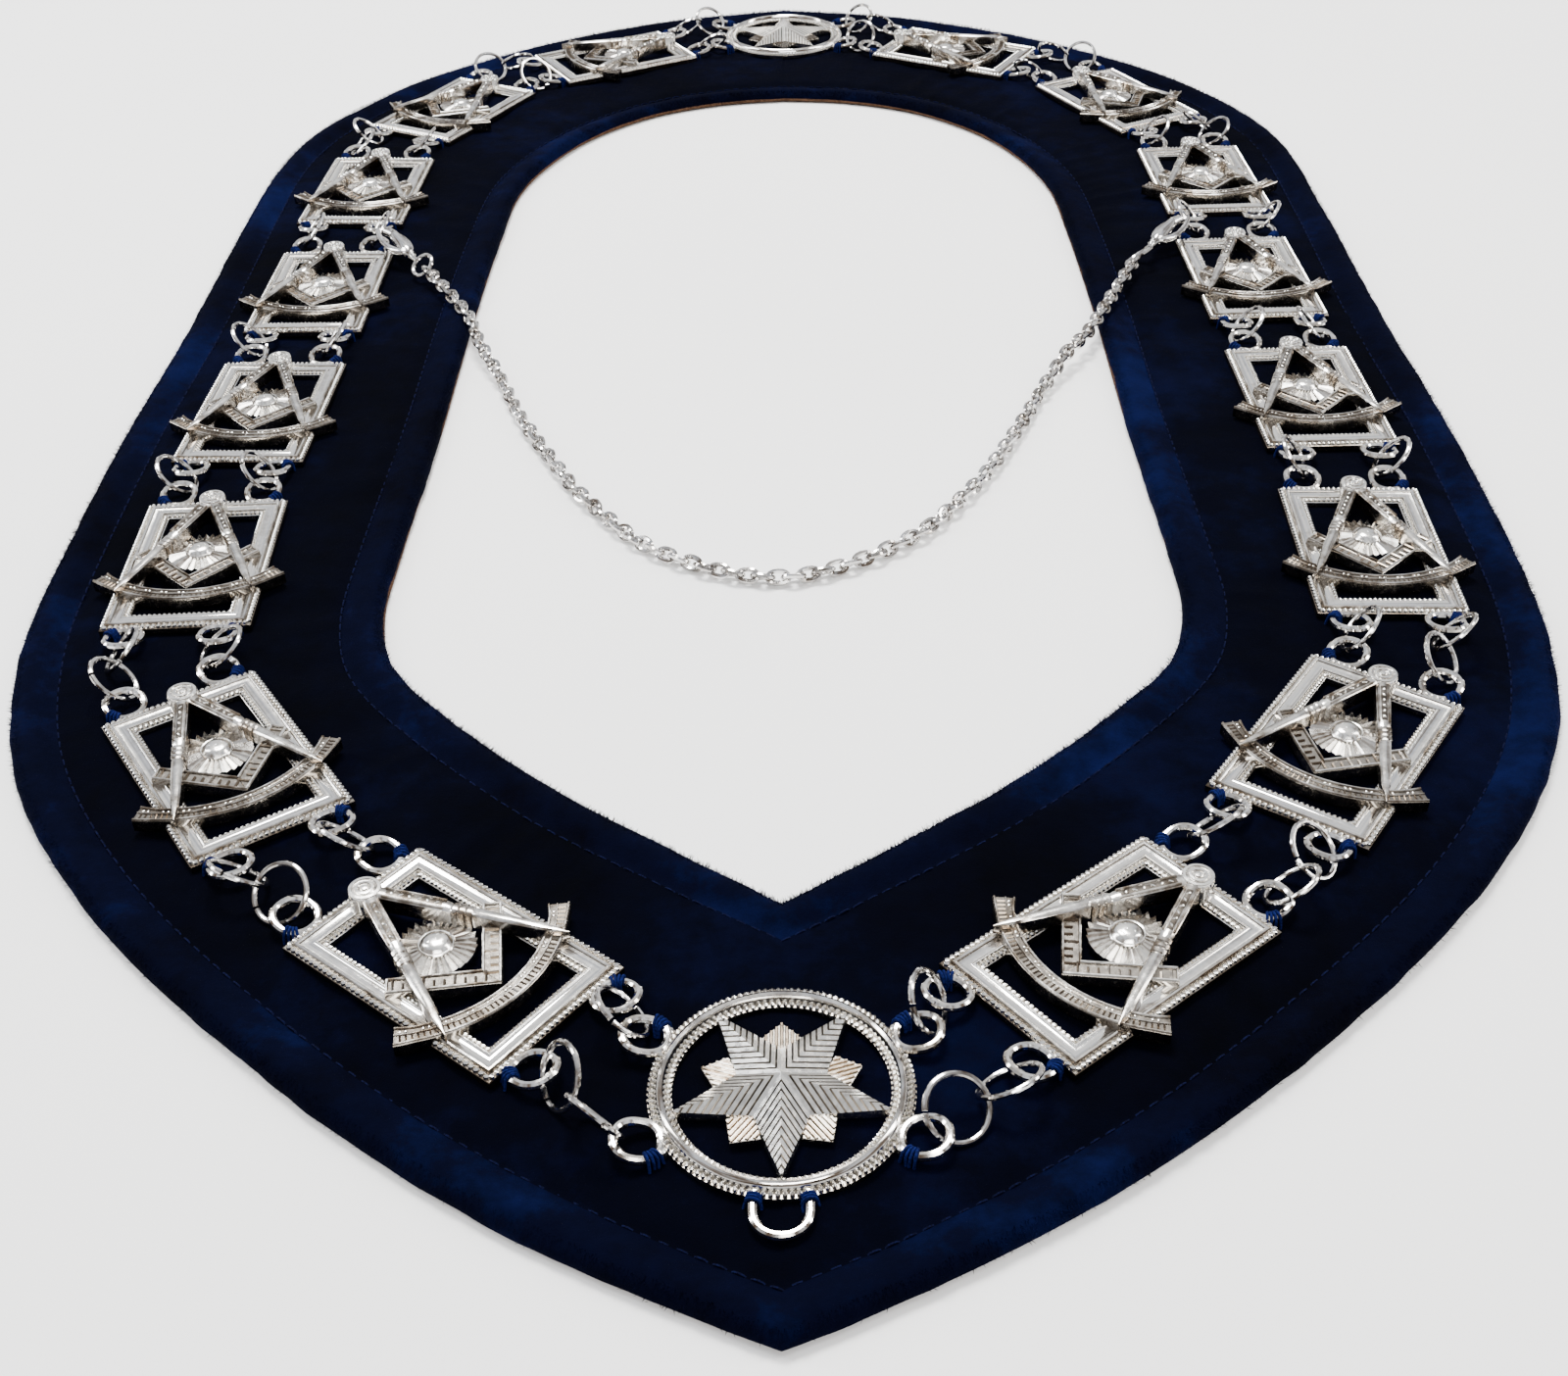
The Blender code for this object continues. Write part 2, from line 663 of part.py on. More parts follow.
def ring_matrix(centre, turn, lean):
    """A ring's matrix: it lies in its own XY plane, leaning about its own X."""
    return Matrix.Translation(centre) @ Matrix.Rotation(turn, 4, "Z") @ Matrix.Rotation(lean, 4, "X")


def best_seat(choices, posts):
    """The first choice with all its room, or the one with the most."""
    best = None
    for matrix in choices:
        room = 1.0
        for post in posts:
            space, linked = ring_room(matrix, post)
            room = min(room, space if linked else space - 0.01)
            if best is not None and room <= best[0]:
                break
        if best is None or room > best[0]:
            best = (room, matrix)
        if best[0] >= REST_GAP:
            break
    return best


def ring_frames(side, gap, strand):
    """A matrix for each ring of a strand."""
    lean = STRANDS[gap][(0 if side < 0 else 2) + (0 if strand < 0 else 1)]
    start, end = strand_ends(side, gap, strand)
    front, back = strand_posts(side, gap, strand)
    along = Vector((end.x - start.x, end.y - start.y, 0.0))
    span = along.length
    along.normalize()
    across = Vector((-along.y, along.x, 0.0))
    turn = math.atan2(along.y, along.x)
    radius = (RING_DIAMETER - RING_WIRE) / 2
    middle = (start + end) / 2
    steeper = (0, 4, -4, 8, -8, 12, -12, 16, -16, 20, -20, 24, -24)
    swings = (0, 6, -6, 12, -12, 18, -18, 24, -24)
    shifts = (0.0, 0.08, -0.08, 0.16, -0.16)
    if span <= SINGLE_SPAN:
        choices = []
        for more in steeper:
            tilt = -side * math.copysign(math.radians(abs(lean) + more), lean)
            height = CLOTH_THICKNESS + REST_GAP + RING_WIRE / 2 + radius * abs(math.sin(tilt))
            for swing in swings:
                for shift in shifts:
                    spot = middle + across * shift * LOOP_WIDTH
                    centre = Vector((spot.x, spot.y, height))
                    choices.append(ring_matrix(centre, turn + math.radians(swing), tilt))
        return [best_seat(choices, (front, back))[1]]
    # Two rings pull against each other and are set just into contact
    arm = ring_corners()[0].x - 0.4 * RING_WIRE
    best = None
    for more in steeper:
        tilt = -side * math.copysign(math.radians(abs(lean) + more), lean)
        height = CLOTH_THICKNESS + REST_GAP + RING_WIRE / 2 + radius * abs(math.sin(tilt))
        for shift in shifts:
            spot = middle + across * shift * LOOP_WIDTH
            contact = Vector((spot.x, spot.y, height))
            pair = []
            for way, post in ((-1, front), (1, back)):
                choices = []
                for swing in swings:
                    heading = turn + math.radians(swing)
                    arm_way = Vector((math.cos(heading), math.sin(heading), 0.0))
                    choices.append(ring_matrix(contact + arm_way * arm * way, heading, -way * tilt))
                pair.append(best_seat(choices, (post,)))
            room = min(pair[0][0], pair[1][0])
            if best is None or room > best[0]:
                best = (room, [pair[0][1], pair[1][1]])
            if room >= REST_GAP:
                return best[1]
    return best[1]


def jump_ring_mesh(matrix):
    """One round ring of wire at a matrix."""
    path = ring_corners()
    rings = tube_rings(path, RING_WIRE / 2, RING_WIRE_SIDES, Vector((0.0, 0.0, 1.0)), True)
    return rings_mesh("jump_ring", [[matrix @ point for point in ring] for ring in rings], True)


def strand_mesh(name, side, gap, strand):
    """The rings of one strand, a pair joined where they touch."""
    meshes = [jump_ring_mesh(matrix) for matrix in ring_frames(side, gap, strand)]
    if len(meshes) == 1:
        return meshes[0]
    return union_mesh(name, meshes)


def clasp_matrix(side):
    """Where a clasp lies: its hook around the inner ring of a gap, its tail down
    to the velvet. Its own +X runs from the hook to the tail."""
    matrix = ring_frames(side, CLASP_STRAND, -1)[0]
    radius = (RING_DIAMETER - RING_WIRE) / 2
    level = (LINK_FLOOR + LOOP_BAR_HEIGHT + LOOP_WIRE / 2 + REST_GAP + CLASP_BODY / 2
             + CLASP_LENGTH * 0.03)
    wire = None
    for step in range(360):
        angle = 2 * math.pi * step / 360
        point = matrix @ Vector((radius * math.cos(angle), radius * math.sin(angle), 0.0))
        # The ring is met on its front side, where it comes up through the loop
        if point.y < matrix.translation.y and (wire is None or abs(point.z - level) < abs(wire.z - level)):
            wire = point
    turn = math.radians(CLASP_BEARINGS[0 if side < 0 else 1])
    away = Vector((math.cos(turn), math.sin(turn), 0.0))
    start = wire - away * (CLASP_WIRE + RING_WIRE / 2 + 2 * REST_GAP)
    return (Matrix.Translation((start.x, start.y, level)) @ Matrix.Rotation(turn, 4, "Z")
            @ Matrix.Rotation(math.radians(CLASP_SLOPE), 4, "Y"))


def clasp_tail(side):
    """The far end of a clasp's ring, where the chain starts."""
    reach = CLASP_LENGTH + CLASP_NECK + CLASP_RING_DIAMETER - CLASP_RING_WIRE
    return clasp_matrix(side) @ Vector((reach + CHAIN_THICKNESS * 0.4, 0.0, 0.0))


def chain_curve_points():
    """The safety chain's middle line, evenly read from a smooth curve."""
    rows = [tuple(clasp_tail(-1))]
    rows += [(x * CHAIN_RUN, y * CHAIN_RUN, z) for x, y, z in CHAIN_ROUTE]
    rows.append(tuple(clasp_tail(1)))
    fine = [Vector(row) for row in smooth_rows(rows, 12)]
    lengths = [0.0]
    for before, after in zip(fine, fine[1:]):
        lengths.append(lengths[-1] + (after - before).length)
    points = []
    index = 0
    for step in range(CHAIN_POINTS):
        target = lengths[-1] * step / (CHAIN_POINTS - 1)
        while index < len(fine) - 2 and lengths[index + 1] < target:
            index += 1
        share = (target - lengths[index]) / (lengths[index + 1] - lengths[index])
        points.append(fine[index].lerp(fine[index + 1], min(max(share, 0.0), 1.0)))
    return points


def make_chain(material):
    """The safety chain as a tube of its own thickness."""
    curve = bpy.data.curves.new("safety_chain", "CURVE")
    curve.dimensions = "3D"
    spline = curve.splines.new("POLY")
    points = chain_curve_points()
    spline.points.add(len(points) - 1)
    for slot, point in zip(spline.points, points):
        slot.co = (*point, 1.0)
    curve.bevel_depth = CHAIN_THICKNESS / 2
    curve.bevel_resolution = 1
    curve.use_fill_caps = True
    curve.materials.append(material)
    chain = bpy.data.objects.new("safety_chain", curve)
    bpy.context.scene.collection.objects.link(chain)
    return chain


def clasp_mesh(name):
    """A lobster clasp with its tail eye and ring, in its own frame."""
    half = (CLASP_WIDTH - CLASP_WIRE) / 2
    points = 10
    path = []
    radii = []
    for step in range(points):
        angle = math.pi + 2 * math.pi * (step + 0.5) / points
        ahead = math.cos(angle) > 0
        middle = CLASP_LENGTH - CLASP_BODY / 2 - half if ahead else CLASP_WIRE / 2 + half
        path.append(Vector((middle + half * math.cos(angle), half * math.sin(angle), 0.0)))
        radii.append(CLASP_BODY / 2 if ahead or math.sin(angle) > 0.9 else CLASP_WIRE / 2)
    rings = []
    for index, (point, radius) in enumerate(zip(path, radii)):
        ahead = (path[(index + 1) % points] - path[index - 1]).normalized()
        across = ahead.cross(Vector((0.0, 0.0, 1.0))).normalized()
        rings.append([point + radius * math.cos(side * math.pi / 3) * across
                      + Vector((0.0, 0.0, radius * math.sin(side * math.pi / 3))) for side in range(6)])
    body = rings_mesh("body", rings, True)
    neck_end = CLASP_LENGTH + CLASP_NECK + CLASP_RING_WIRE * 0.2
    neck_path = [Vector((CLASP_LENGTH - CLASP_BODY * 0.6, 0.0, 0.0)), Vector((neck_end, 0.0, 0.0))]
    neck = rings_mesh("neck", tube_rings(neck_path, CLASP_WIRE * 0.6, 6), False)
    ring_radius = (CLASP_RING_DIAMETER - CLASP_RING_WIRE) / 2
    lean = math.radians(40)
    normal = Vector((0.0, -math.sin(lean), math.cos(lean)))
    sideways = Vector((0.0, math.cos(lean), math.sin(lean)))
    ring_path = []
    for step in range(10):
        angle = 2 * math.pi * step / 10
        ring_path.append(Vector((CLASP_LENGTH + CLASP_NECK + ring_radius, 0.0, 0.0))
                         + ring_radius * (math.cos(angle) * Vector((1.0, 0.0, 0.0)) + math.sin(angle) * sideways))
    tail = rings_mesh("tail", tube_rings(ring_path, CLASP_RING_WIRE / 2, 5, normal, True), True)
    return union_mesh(name, [body, neck, tail])


def build():
    """Every piece of the collar."""
    for old in list(bpy.data.objects):
        bpy.data.objects.remove(old)
    velvet = make_material("navy_velvet", (0.006, 0.010, 0.050), 0.95, 0.0)
    nickel = make_material("bright_nickel", (0.72, 0.70, 0.66), 0.22, 1.0)
    steel = make_material("ring_steel", (0.55, 0.54, 0.52), 0.25, 1.0)

    place("velvet_collar", velvet_mesh(), velvet)
    place("star_front", star_mesh("star_front", -1, True), nickel, star_matrix(FRONT_STAR_Y))
    place("star_back", star_mesh("star_back", 1, False), nickel, star_matrix(BACK_STAR_Y))
    link = link_mesh()
    for side, side_name in ((-1, "left"), (1, "right")):
        for number in range(LINKS_PER_SIDE):
            place("link_%s_%d" % (side_name, number + 1), link, nickel, link_matrix(side, number))
        for gap in range(LINKS_PER_SIDE + 1):
            for strand, strand_name in ((-1, "inner"), (1, "outer")):
                name = "rings_%s_%s_%d" % (side_name, strand_name, gap + 1)
                place(name, strand_mesh(name, side, gap, strand), steel)
        name = "clasp_%s" % side_name
        place(name, clasp_mesh(name), steel, clasp_matrix(side))
    make_chain(steel)


build()
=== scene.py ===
"""The look of the chain collar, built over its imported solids."""

import math
import random

import bpy
import numpy as np
from mathutils import Matrix, Vector, noise


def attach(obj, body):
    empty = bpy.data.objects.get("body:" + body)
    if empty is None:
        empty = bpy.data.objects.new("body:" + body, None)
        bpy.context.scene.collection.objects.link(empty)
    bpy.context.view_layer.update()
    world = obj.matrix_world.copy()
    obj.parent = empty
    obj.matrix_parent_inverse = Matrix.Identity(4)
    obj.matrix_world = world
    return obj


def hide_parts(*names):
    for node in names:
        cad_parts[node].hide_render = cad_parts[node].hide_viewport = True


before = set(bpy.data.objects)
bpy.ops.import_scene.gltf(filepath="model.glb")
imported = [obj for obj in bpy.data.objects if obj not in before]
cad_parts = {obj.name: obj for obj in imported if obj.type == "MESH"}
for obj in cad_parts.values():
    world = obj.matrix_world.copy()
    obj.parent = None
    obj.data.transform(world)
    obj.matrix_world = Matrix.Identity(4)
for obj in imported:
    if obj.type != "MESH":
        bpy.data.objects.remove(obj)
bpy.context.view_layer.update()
MM = 0.001
random.seed(7)

# Sizes shared with the solids, in millimetres
LINKS_PER_SIDE = 8
LINK_WIDTH = 30.0
LINK_LENGTH = 47.0
LINK_FLOOR = 2.9
LOOP_WIDTH = 8.4
LOOP_REACH = 7.8
LOOP_WIRE = 1.5
LOOP_OFFSET = 9.2
LOOP_FOOT = 0.9
LOOP_BAR = 2.3
STAR_RADIUS = 20.0
STAR_LOOP_SIDE = 10.0
STAR_LOOP_REACH = 7.7
JEWEL_LOOP_WIDTH = 9.6
JEWEL_LOOP_REACH = 6.95
RING_RADIUS = 5.0
RING_WIRE = 1.0
CHAIN_RUN = 587.0
BAND_WIDTH = 73.0
FRONT_STAR_Y = -0.3896 * CHAIN_RUN
BACK_STAR_Y = 0.4088 * CHAIN_RUN

# The neck opening's edge and the band across it, the same as the solid's
BAND_SECTIONS = (
    # side, forward, bearing, width
    (0.0000, 0.3182, 90.0, 1.153),
    (0.0341, 0.3131, 78.5, 1.101),
    (0.0681, 0.2981, 67.4, 1.068),
    (0.0971, 0.2709, 54.9, 1.071),
    (0.1175, 0.2368, 39.4, 1.099),
    (0.1312, 0.1925, 27.2, 1.109),
    (0.1346, 0.1363, 11.5, 1.034),
    (0.1363, 0.0511, 0.0, 0.993),
    (0.1363, -0.0426, -3.9, 1.016),
    (0.1380, -0.1363, -6.3, 0.992),
    (0.1371, -0.1755, -14.6, 0.977),
    (0.1278, -0.2061, -26.6, 0.981),
    (0.1022, -0.2368, -39.5, 1.012),
    (0.0681, -0.2692, -56.1, 1.031),
    (0.0341, -0.2947, -74.1, 1.097),
    (0.0000, -0.3194, -90.0, 1.144),
)

# Where each link lies, as shares of CHAIN_RUN and its turn in degrees
LINK_PLACES = (
    # left x, left y, left turn, right x, right y, right turn
    (-0.0899, -0.3426, 51.9, 0.0898, -0.3422, -51.4),
    (-0.1720, -0.2578, 34.2, 0.1711, -0.2570, -35.3),
    (-0.2082, -0.1455, 2.9, 0.2077, -0.1474, -2.2),
    (-0.2095, -0.0354, -1.5, 0.2106, -0.0356, 1.2),
    (-0.2072, 0.0738, -0.7, 0.2083, 0.0739, 1.4),
    (-0.2061, 0.1871, -2.6, 0.2072, 0.1850, 2.2),
    (-0.1782, 0.2964, -28.0, 0.1796, 0.2945, 27.8),
    (-0.0971, 0.3755, -61.0, 0.0981, 0.3748, 60.8),
)

# The safety chain's route between the clasps' rings: x and y as shares of
# CHAIN_RUN, height in millimetres
CHAIN_ROUTE = (
    # x, y, height
    (-0.1380, 0.0470, 4.7),
    (-0.1290, 0.0200, 4.7),
    (-0.1160, -0.0080, 1.9),
    (-0.1070, -0.0330, 1.7),
    (-0.0930, -0.0640, 1.7),
    (-0.0740, -0.1000, 1.7),
    (-0.0440, -0.1370, 1.7),
    (0.0000, -0.1540, 1.7),
    (0.0430, -0.1330, 1.7),
    (0.0720, -0.0950, 1.7),
    (0.0910, -0.0560, 1.7),
    (0.1060, -0.0200, 1.8),
    (0.1200, 0.0060, 4.7),
    (0.1300, 0.0220, 4.7),
)
CHAIN_PITCH = 3.2
CHAIN_WIRE_RADIUS = 0.55

# The clasps in millimetres, and the way that the left and the right one lie in degrees
CLASP_BEARINGS = (-53.0, -129.0)
CLASP_LENGTH = 18.0
CLASP_NECK = 4.5
CLASP_WIDTH = 6.6
CLASP_WIRE = 1.5
CLASP_BODY = 2.4
CLASP_RING = 7.4
CLASP_RING_WIRE = 1.2

# A link's emblem
HINGE_Y = LINK_LENGTH / 2 - 3.6
COMPASS_POINT = (13.3, -12.2)
SQUARE_CORNER_Y = -11.4
SQUARE_ARM = 18.2
SQUARE_HALF = 1.55
ARC_RADIUS = 25.4
ARC_LOW = -14.0
ARC_HALF_TURN = 45.5
SUN_Y = 3.5
ROPE_SLANT = 0.75

# The velvet from its edge inward: a roll, a stitched groove, then padding
ROLL_FOOT = 1.2
ROLL_TOP = 3.4
ROLL_WIDTH = 3.4
GROOVE_AT = 8.8
GROOVE_LEVEL = 1.95
PADDING_AT = 13.0
PADDING_LEVEL = 2.62
PADDING_LIMIT = 2.86
STITCH_PITCH = 2.9
DENT_CELL = 0.8

# The floor, in metres
FLOOR_REACH = 30.0
FLOOR_LEVEL = -0.0002


# Materials

def new_material(name):
    """A new material, its nodes, its shader and the object's own coordinates."""
    material = bpy.data.materials.new(name)
    material.use_nodes = True
    tree = material.node_tree
    coordinates = tree.nodes.new("ShaderNodeTexCoord").outputs["Object"]
    return material, tree, tree.nodes["Principled BSDF"], coordinates


def fill(node, values):
    """Set values on a node's own sockets."""
    for socket, value in values.items():
        node.inputs[socket].default_value = value


def ramp(tree, stops, factor):
    """The colour from a colour ramp fed by a factor."""
    node = tree.nodes.new("ShaderNodeValToRGB")
    elements = node.color_ramp.elements
    while len(elements) < len(stops):
        elements.new(0.5)
    for element, (position, colour) in zip(elements, stops):
        element.position = position
        element.color = (*colour, 1.0)
    tree.links.new(factor, node.inputs["Fac"])
    return node.outputs["Color"]


def noise_value(tree, scale, detail, coordinates, roughness=0.55):
    """The value of a noise texture on given coordinates."""
    node = tree.nodes.new("ShaderNodeTexNoise")
    fill(node, {"Scale": scale, "Detail": detail, "Roughness": roughness})
    tree.links.new(coordinates, node.inputs["Vector"])
    return node.outputs["Fac"]


def multiply_add(tree, value, factor, addend):
    """A value times a number, with another value added."""
    node = tree.nodes.new("ShaderNodeMath")
    node.operation = "MULTIPLY_ADD"
    tree.links.new(value, node.inputs[0])
    node.inputs[1].default_value = factor
    tree.links.new(addend, node.inputs[2])
    return node.outputs["Value"]


def add_bump(tree, shader, height, strength, distance):
    """Fine relief on a shader."""
    node = tree.nodes.new("ShaderNodeBump")
    fill(node, {"Strength": strength, "Distance": distance})
    tree.links.new(height, node.inputs["Height"])
    tree.links.new(node.outputs["Normal"], shader.inputs["Normal"])


def velvet_material(name, stops, sheen):
    """Navy pile, with paler blue patches painted into its colour as sheen."""
    material, tree, shader, coordinates = new_material(name)
    # Noise patches lighten the colour towards blue: painted sheen
    painted_sheen_patches = noise_value(tree, 17.0, 3.0, coordinates, 0.5)
    painted_sheen_streaks = noise_value(tree, 150.0, 5.0, coordinates, 0.65)
    colour = ramp(tree, stops, multiply_add(tree, painted_sheen_streaks, 0.45, painted_sheen_patches))
    tree.links.new(colour, shader.inputs["Base Color"])
    fill(shader, {"Roughness": 0.95, "Specular IOR Level": 0.02, "Sheen Weight": sheen,
                  "Sheen Roughness": 0.40, "Sheen Tint": (0.10, 0.18, 0.90, 1.0)})
    pile = noise_value(tree, 1900.0, 2.0, coordinates, 0.7)
    nap = noise_value(tree, 340.0, 3.0, coordinates, 0.6)
    add_bump(tree, shader, multiply_add(tree, pile, 0.6, nap), 0.45, 0.0004)
    return material


def cloth_material(name, dark, light, scale):
    """Plain woven cloth or thread between two colours."""
    material, tree, shader, coordinates = new_material(name)
    grain = noise_value(tree, scale, 3.0, coordinates)
    tree.links.new(ramp(tree, ((0.35, dark), (0.70, light)), grain), shader.inputs["Base Color"])
    fill(shader, {"Roughness": 0.9, "Specular IOR Level": 0.05})
    add_bump(tree, shader, grain, 0.5, 0.0002)
    return material


def metal_material(name, bright, tarnish_and_shade, smooth, rough):
    """Plated metal, darker in its hollows as painted shade, with tarnish in random patches and brighter where
    it is rubbed.
    """
    material, tree, shader, coordinates = new_material(name)
    cloud = noise_value(tree, 210.0, 4.0, coordinates, 0.6)
    # Pointiness darkens hollows and creases as painted shade, mixed with tarnish patches from the noise
    edge = tree.nodes.new("ShaderNodeNewGeometry").outputs["Pointiness"]
    lowered = tree.nodes.new("ShaderNodeMath")
    lowered.operation = "SUBTRACT"
    tree.links.new(cloud, lowered.inputs[0])
    lowered.inputs[1].default_value = 1.10
    tarnish_and_hollow_shade = multiply_add(tree, edge, 2.2, lowered.outputs["Value"])
    tree.links.new(ramp(tree, ((0.18, tarnish_and_shade), (0.50, bright)), tarnish_and_hollow_shade), shader.inputs["Base Color"])
    shader.inputs["Metallic"].default_value = 1.0
    fine = noise_value(tree, 900.0, 3.0, coordinates, 0.65)
    spread = tree.nodes.new("ShaderNodeMapRange")
    fill(spread, {"From Min": 0.3, "From Max": 0.75, "To Min": smooth, "To Max": rough})
    tree.links.new(fine, spread.inputs["Value"])
    tree.links.new(spread.outputs["Result"], shader.inputs["Roughness"])
    add_bump(tree, shader, cloud, 0.25, 0.00005)
    return material


VELVET = velvet_material(
    "velvet_pile",
    ((0.54, (0.0002, 0.0003, 0.0011)), (0.76, (0.0003, 0.0005, 0.0027)), (1.00, (0.0008, 0.0014, 0.0095))),
    0.003)
# The rolled edges get a paler blue copy of the velvet, as painted sheen
VELVET_EDGE_SHEEN = velvet_material(
    "velvet_roll_sheen",
    ((0.54, (0.0003, 0.0004, 0.0019)), (0.76, (0.0006, 0.0010, 0.0062)), (0.96, (0.0017, 0.0031, 0.022))),
    0.006)
LINING = cloth_material("lining", (0.030, 0.014, 0.008), (0.10, 0.052, 0.030), 1400.0)
THREAD = cloth_material("navy_thread", (0.0014, 0.0028, 0.022), (0.005, 0.011, 0.085), 2600.0)
SEAM = cloth_material("seam_thread", (0.0006, 0.0009, 0.006), (0.0025, 0.004, 0.026), 2600.0)
CAST = metal_material("cast_nickel", (0.84, 0.82, 0.78), (0.20, 0.16, 0.12), 0.12, 0.30)
# The same nickel painted darker, as painted shade and painted dark reflection: used on the frame's grooves and
# walls under the ropes, the emblem's arms and arc, and the star's rib grooves and ledges
SHADE = metal_material("shaded_nickel", (0.34, 0.31, 0.27), (0.08, 0.065, 0.05), 0.16, 0.32)
POLISHED = metal_material("polished_nickel", (0.88, 0.86, 0.83), (0.40, 0.35, 0.29), 0.06, 0.16)
WIRE = metal_material("ring_wire", (0.82, 0.81, 0.80), (0.34, 0.31, 0.28), 0.08, 0.20)


# Shapes

# The four corners of a rectangle in turn
CORNERS = ((-1, -1), (1, -1), (1, 1), (-1, 1))


def turns(count):
    """The cosines and sines of a whole turn in equal steps."""
    angles = [math.tau * step / count for step in range(count)]
    return [(math.cos(angle), math.sin(angle)) for angle in angles]


class Shape:
    """Points and faces that are gathered into one mesh, with material numbers."""

    def __init__(self):
        self.points = []
        self.faces = []
        self.materials = []

    def add(self, points, faces, material=0):
        """Add faces, with one material number for them all or a list."""
        first = len(self.points)
        self.points += [tuple(point) for point in points]
        self.faces += [tuple(first + index for index in face) for face in faces]
        self.materials += material if isinstance(material, list) else [material] * len(faces)

    def loft(self, rings, closed=False, material=0, strips=None):
        """Faces between rings of points; strips gives some sides a material of their own."""
        sides = len(rings[0])
        points = [point for ring in rings for point in ring]
        faces = []
        numbers = []
        for row in range(len(rings) if closed else len(rings) - 1):
            following = (row + 1) % len(rings)
            for side in range(sides):
                beside = (side + 1) % sides
                faces.append((row * sides + side, row * sides + beside,
                              following * sides + beside, following * sides + side))
                numbers.append(strips.get(side, material) if strips else material)
        if not closed:
            faces.append(tuple(range(sides))[::-1])
            faces.append(tuple(range((len(rings) - 1) * sides, len(rings) * sides)))
            numbers += [material, material]
        self.add(points, faces, numbers)

    def tube(self, path, radius, sides, closed=False, up=Vector((0, 0, 1)), material=0):
        """A round wire along a path, its radius one number or one for each point."""
        rings = []
        count = len(path)
        radii = radius if isinstance(radius, list) else [radius] * count
        for index, point in enumerate(path):
            if closed:
                ahead = path[(index + 1) % count] - path[index - 1]
            else:
                ahead = path[min(index + 1, count - 1)] - path[max(index - 1, 0)]
            ahead = ahead.normalized()
            across = ahead.cross(up).normalized()
            rise = across.cross(ahead)
            rings.append([point + radii[index] * (cosine * across + sine * rise)
                          for cosine, sine in turns(sides)])
        self.loft(rings, closed, material)

    def prism(self, outline, base, top, bevel, material=0):
        """An upright prism over an outline, its top edge bevelled inward."""
        levels = ((outline, base), (outline, top - bevel), (inset(outline, bevel), top))
        self.loft([[Vector((x, y, z)) for x, y in corners] for corners, z in levels], material=material)

    def turned(self, centre, profile, segments, material=0):
        """A body turned about an upright axis, with flat ends."""
        self.loft([[Vector((centre[0] + radius * cosine, centre[1] + radius * sine, height))
                    for cosine, sine in turns(segments)] for radius, height in profile], material=material)

    def bead(self, centre, heading, half_length, half_width, height, material=0):
        """A small dome, longer one way, that stands on a level."""
        along = Vector((math.cos(heading), math.sin(heading), 0.0))
        across = Vector((-along.y, along.x, 0.0))
        rings = []
        for share, level in ((1.0, 0.0), (0.78, 0.62)):
            rings.append([centre + along * half_length * share * math.cos(math.pi * k / 3)
                          + across * half_width * share * math.sin(math.pi * k / 3)
                          + Vector((0, 0, height * level)) for k in range(6)])
        points = rings[0] + rings[1] + [centre + Vector((0, 0, height))]
        faces = []
        for k in range(6):
            beside = (k + 1) % 6
            faces.append((k, beside, 6 + beside, 6 + k))
            faces.append((6 + k, 6 + beside, 12))
        self.add(points, faces, material)

    def mesh(self, name, materials, smooth_angle=35.0):
        """The mesh in metres, smooth except at sharp edges."""
        mesh = bpy.data.meshes.new(name)
        mesh.from_pydata([(x * MM, y * MM, z * MM) for x, y, z in self.points], [], self.faces)
        for material in materials:
            mesh.materials.append(material)
        mesh.polygons.foreach_set("material_index", self.materials)
        mesh.polygons.foreach_set("use_smooth", [True] * len(mesh.polygons))
        mesh.update()
        mesh.set_sharp_from_angle(angle=math.radians(smooth_angle))
        return mesh


def inset(outline, amount):
    """An outline moved inward, corner by corner."""
    count = len(outline)
    area = sum(outline[k][0] * outline[(k + 1) % count][1] - outline[(k + 1) % count][0] * outline[k][1]
               for k in range(count))
    sign = 1 if area > 0 else -1
    moved = []
    for k in range(count):
        before = Vector(outline[k]) - Vector(outline[k - 1])
        after = Vector(outline[(k + 1) % count]) - Vector(outline[k])
        normal_a = Vector((-before.y, before.x)).normalized() * sign
        normal_b = Vector((-after.y, after.x)).normalized() * sign
        way = normal_a + normal_b
        scale = amount / max(way.dot(normal_a), 0.35)
        point = Vector(outline[k]) + way * scale
        moved.append((point.x, point.y))
    return moved


def smooth_rows(rows, steps):
    """A smooth curve through rows of values, with steps to each stretch."""
    curve = []
    last = len(rows) - 1
    for index in range(last):
        before = rows[max(index - 1, 0)]
        start = rows[index]
        end = rows[index + 1]
        after = rows[min(index + 2, last)]
        for step in range(steps):
            t = step / steps
            row = []
            for a, b, c, d in zip(before, start, end, after):
                row.append(0.5 * (2 * b + (c - a) * t + (2 * a - 5 * b + 4 * c - d) * t * t
                                  + (3 * b - a - 3 * c + d) * t ** 3))
            curve.append(row)
    curve.append(list(rows[last]))
    return curve


def place(name, mesh, replaced=None, matrix=None):
    """Put a piece in the scene, riding on the collar."""
    piece = bpy.data.objects.new(name, mesh)
    if matrix is not None:
        piece.matrix_world = matrix
    bpy.context.scene.collection.objects.link(piece)
    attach(piece, "root")
    if replaced:
        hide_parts(replaced)
    return piece


def metres(matrix):
    """A matrix in millimetres as one in metres."""
    result = matrix.copy()
    result.translation = matrix.translation * MM
    return result


# Cast loops

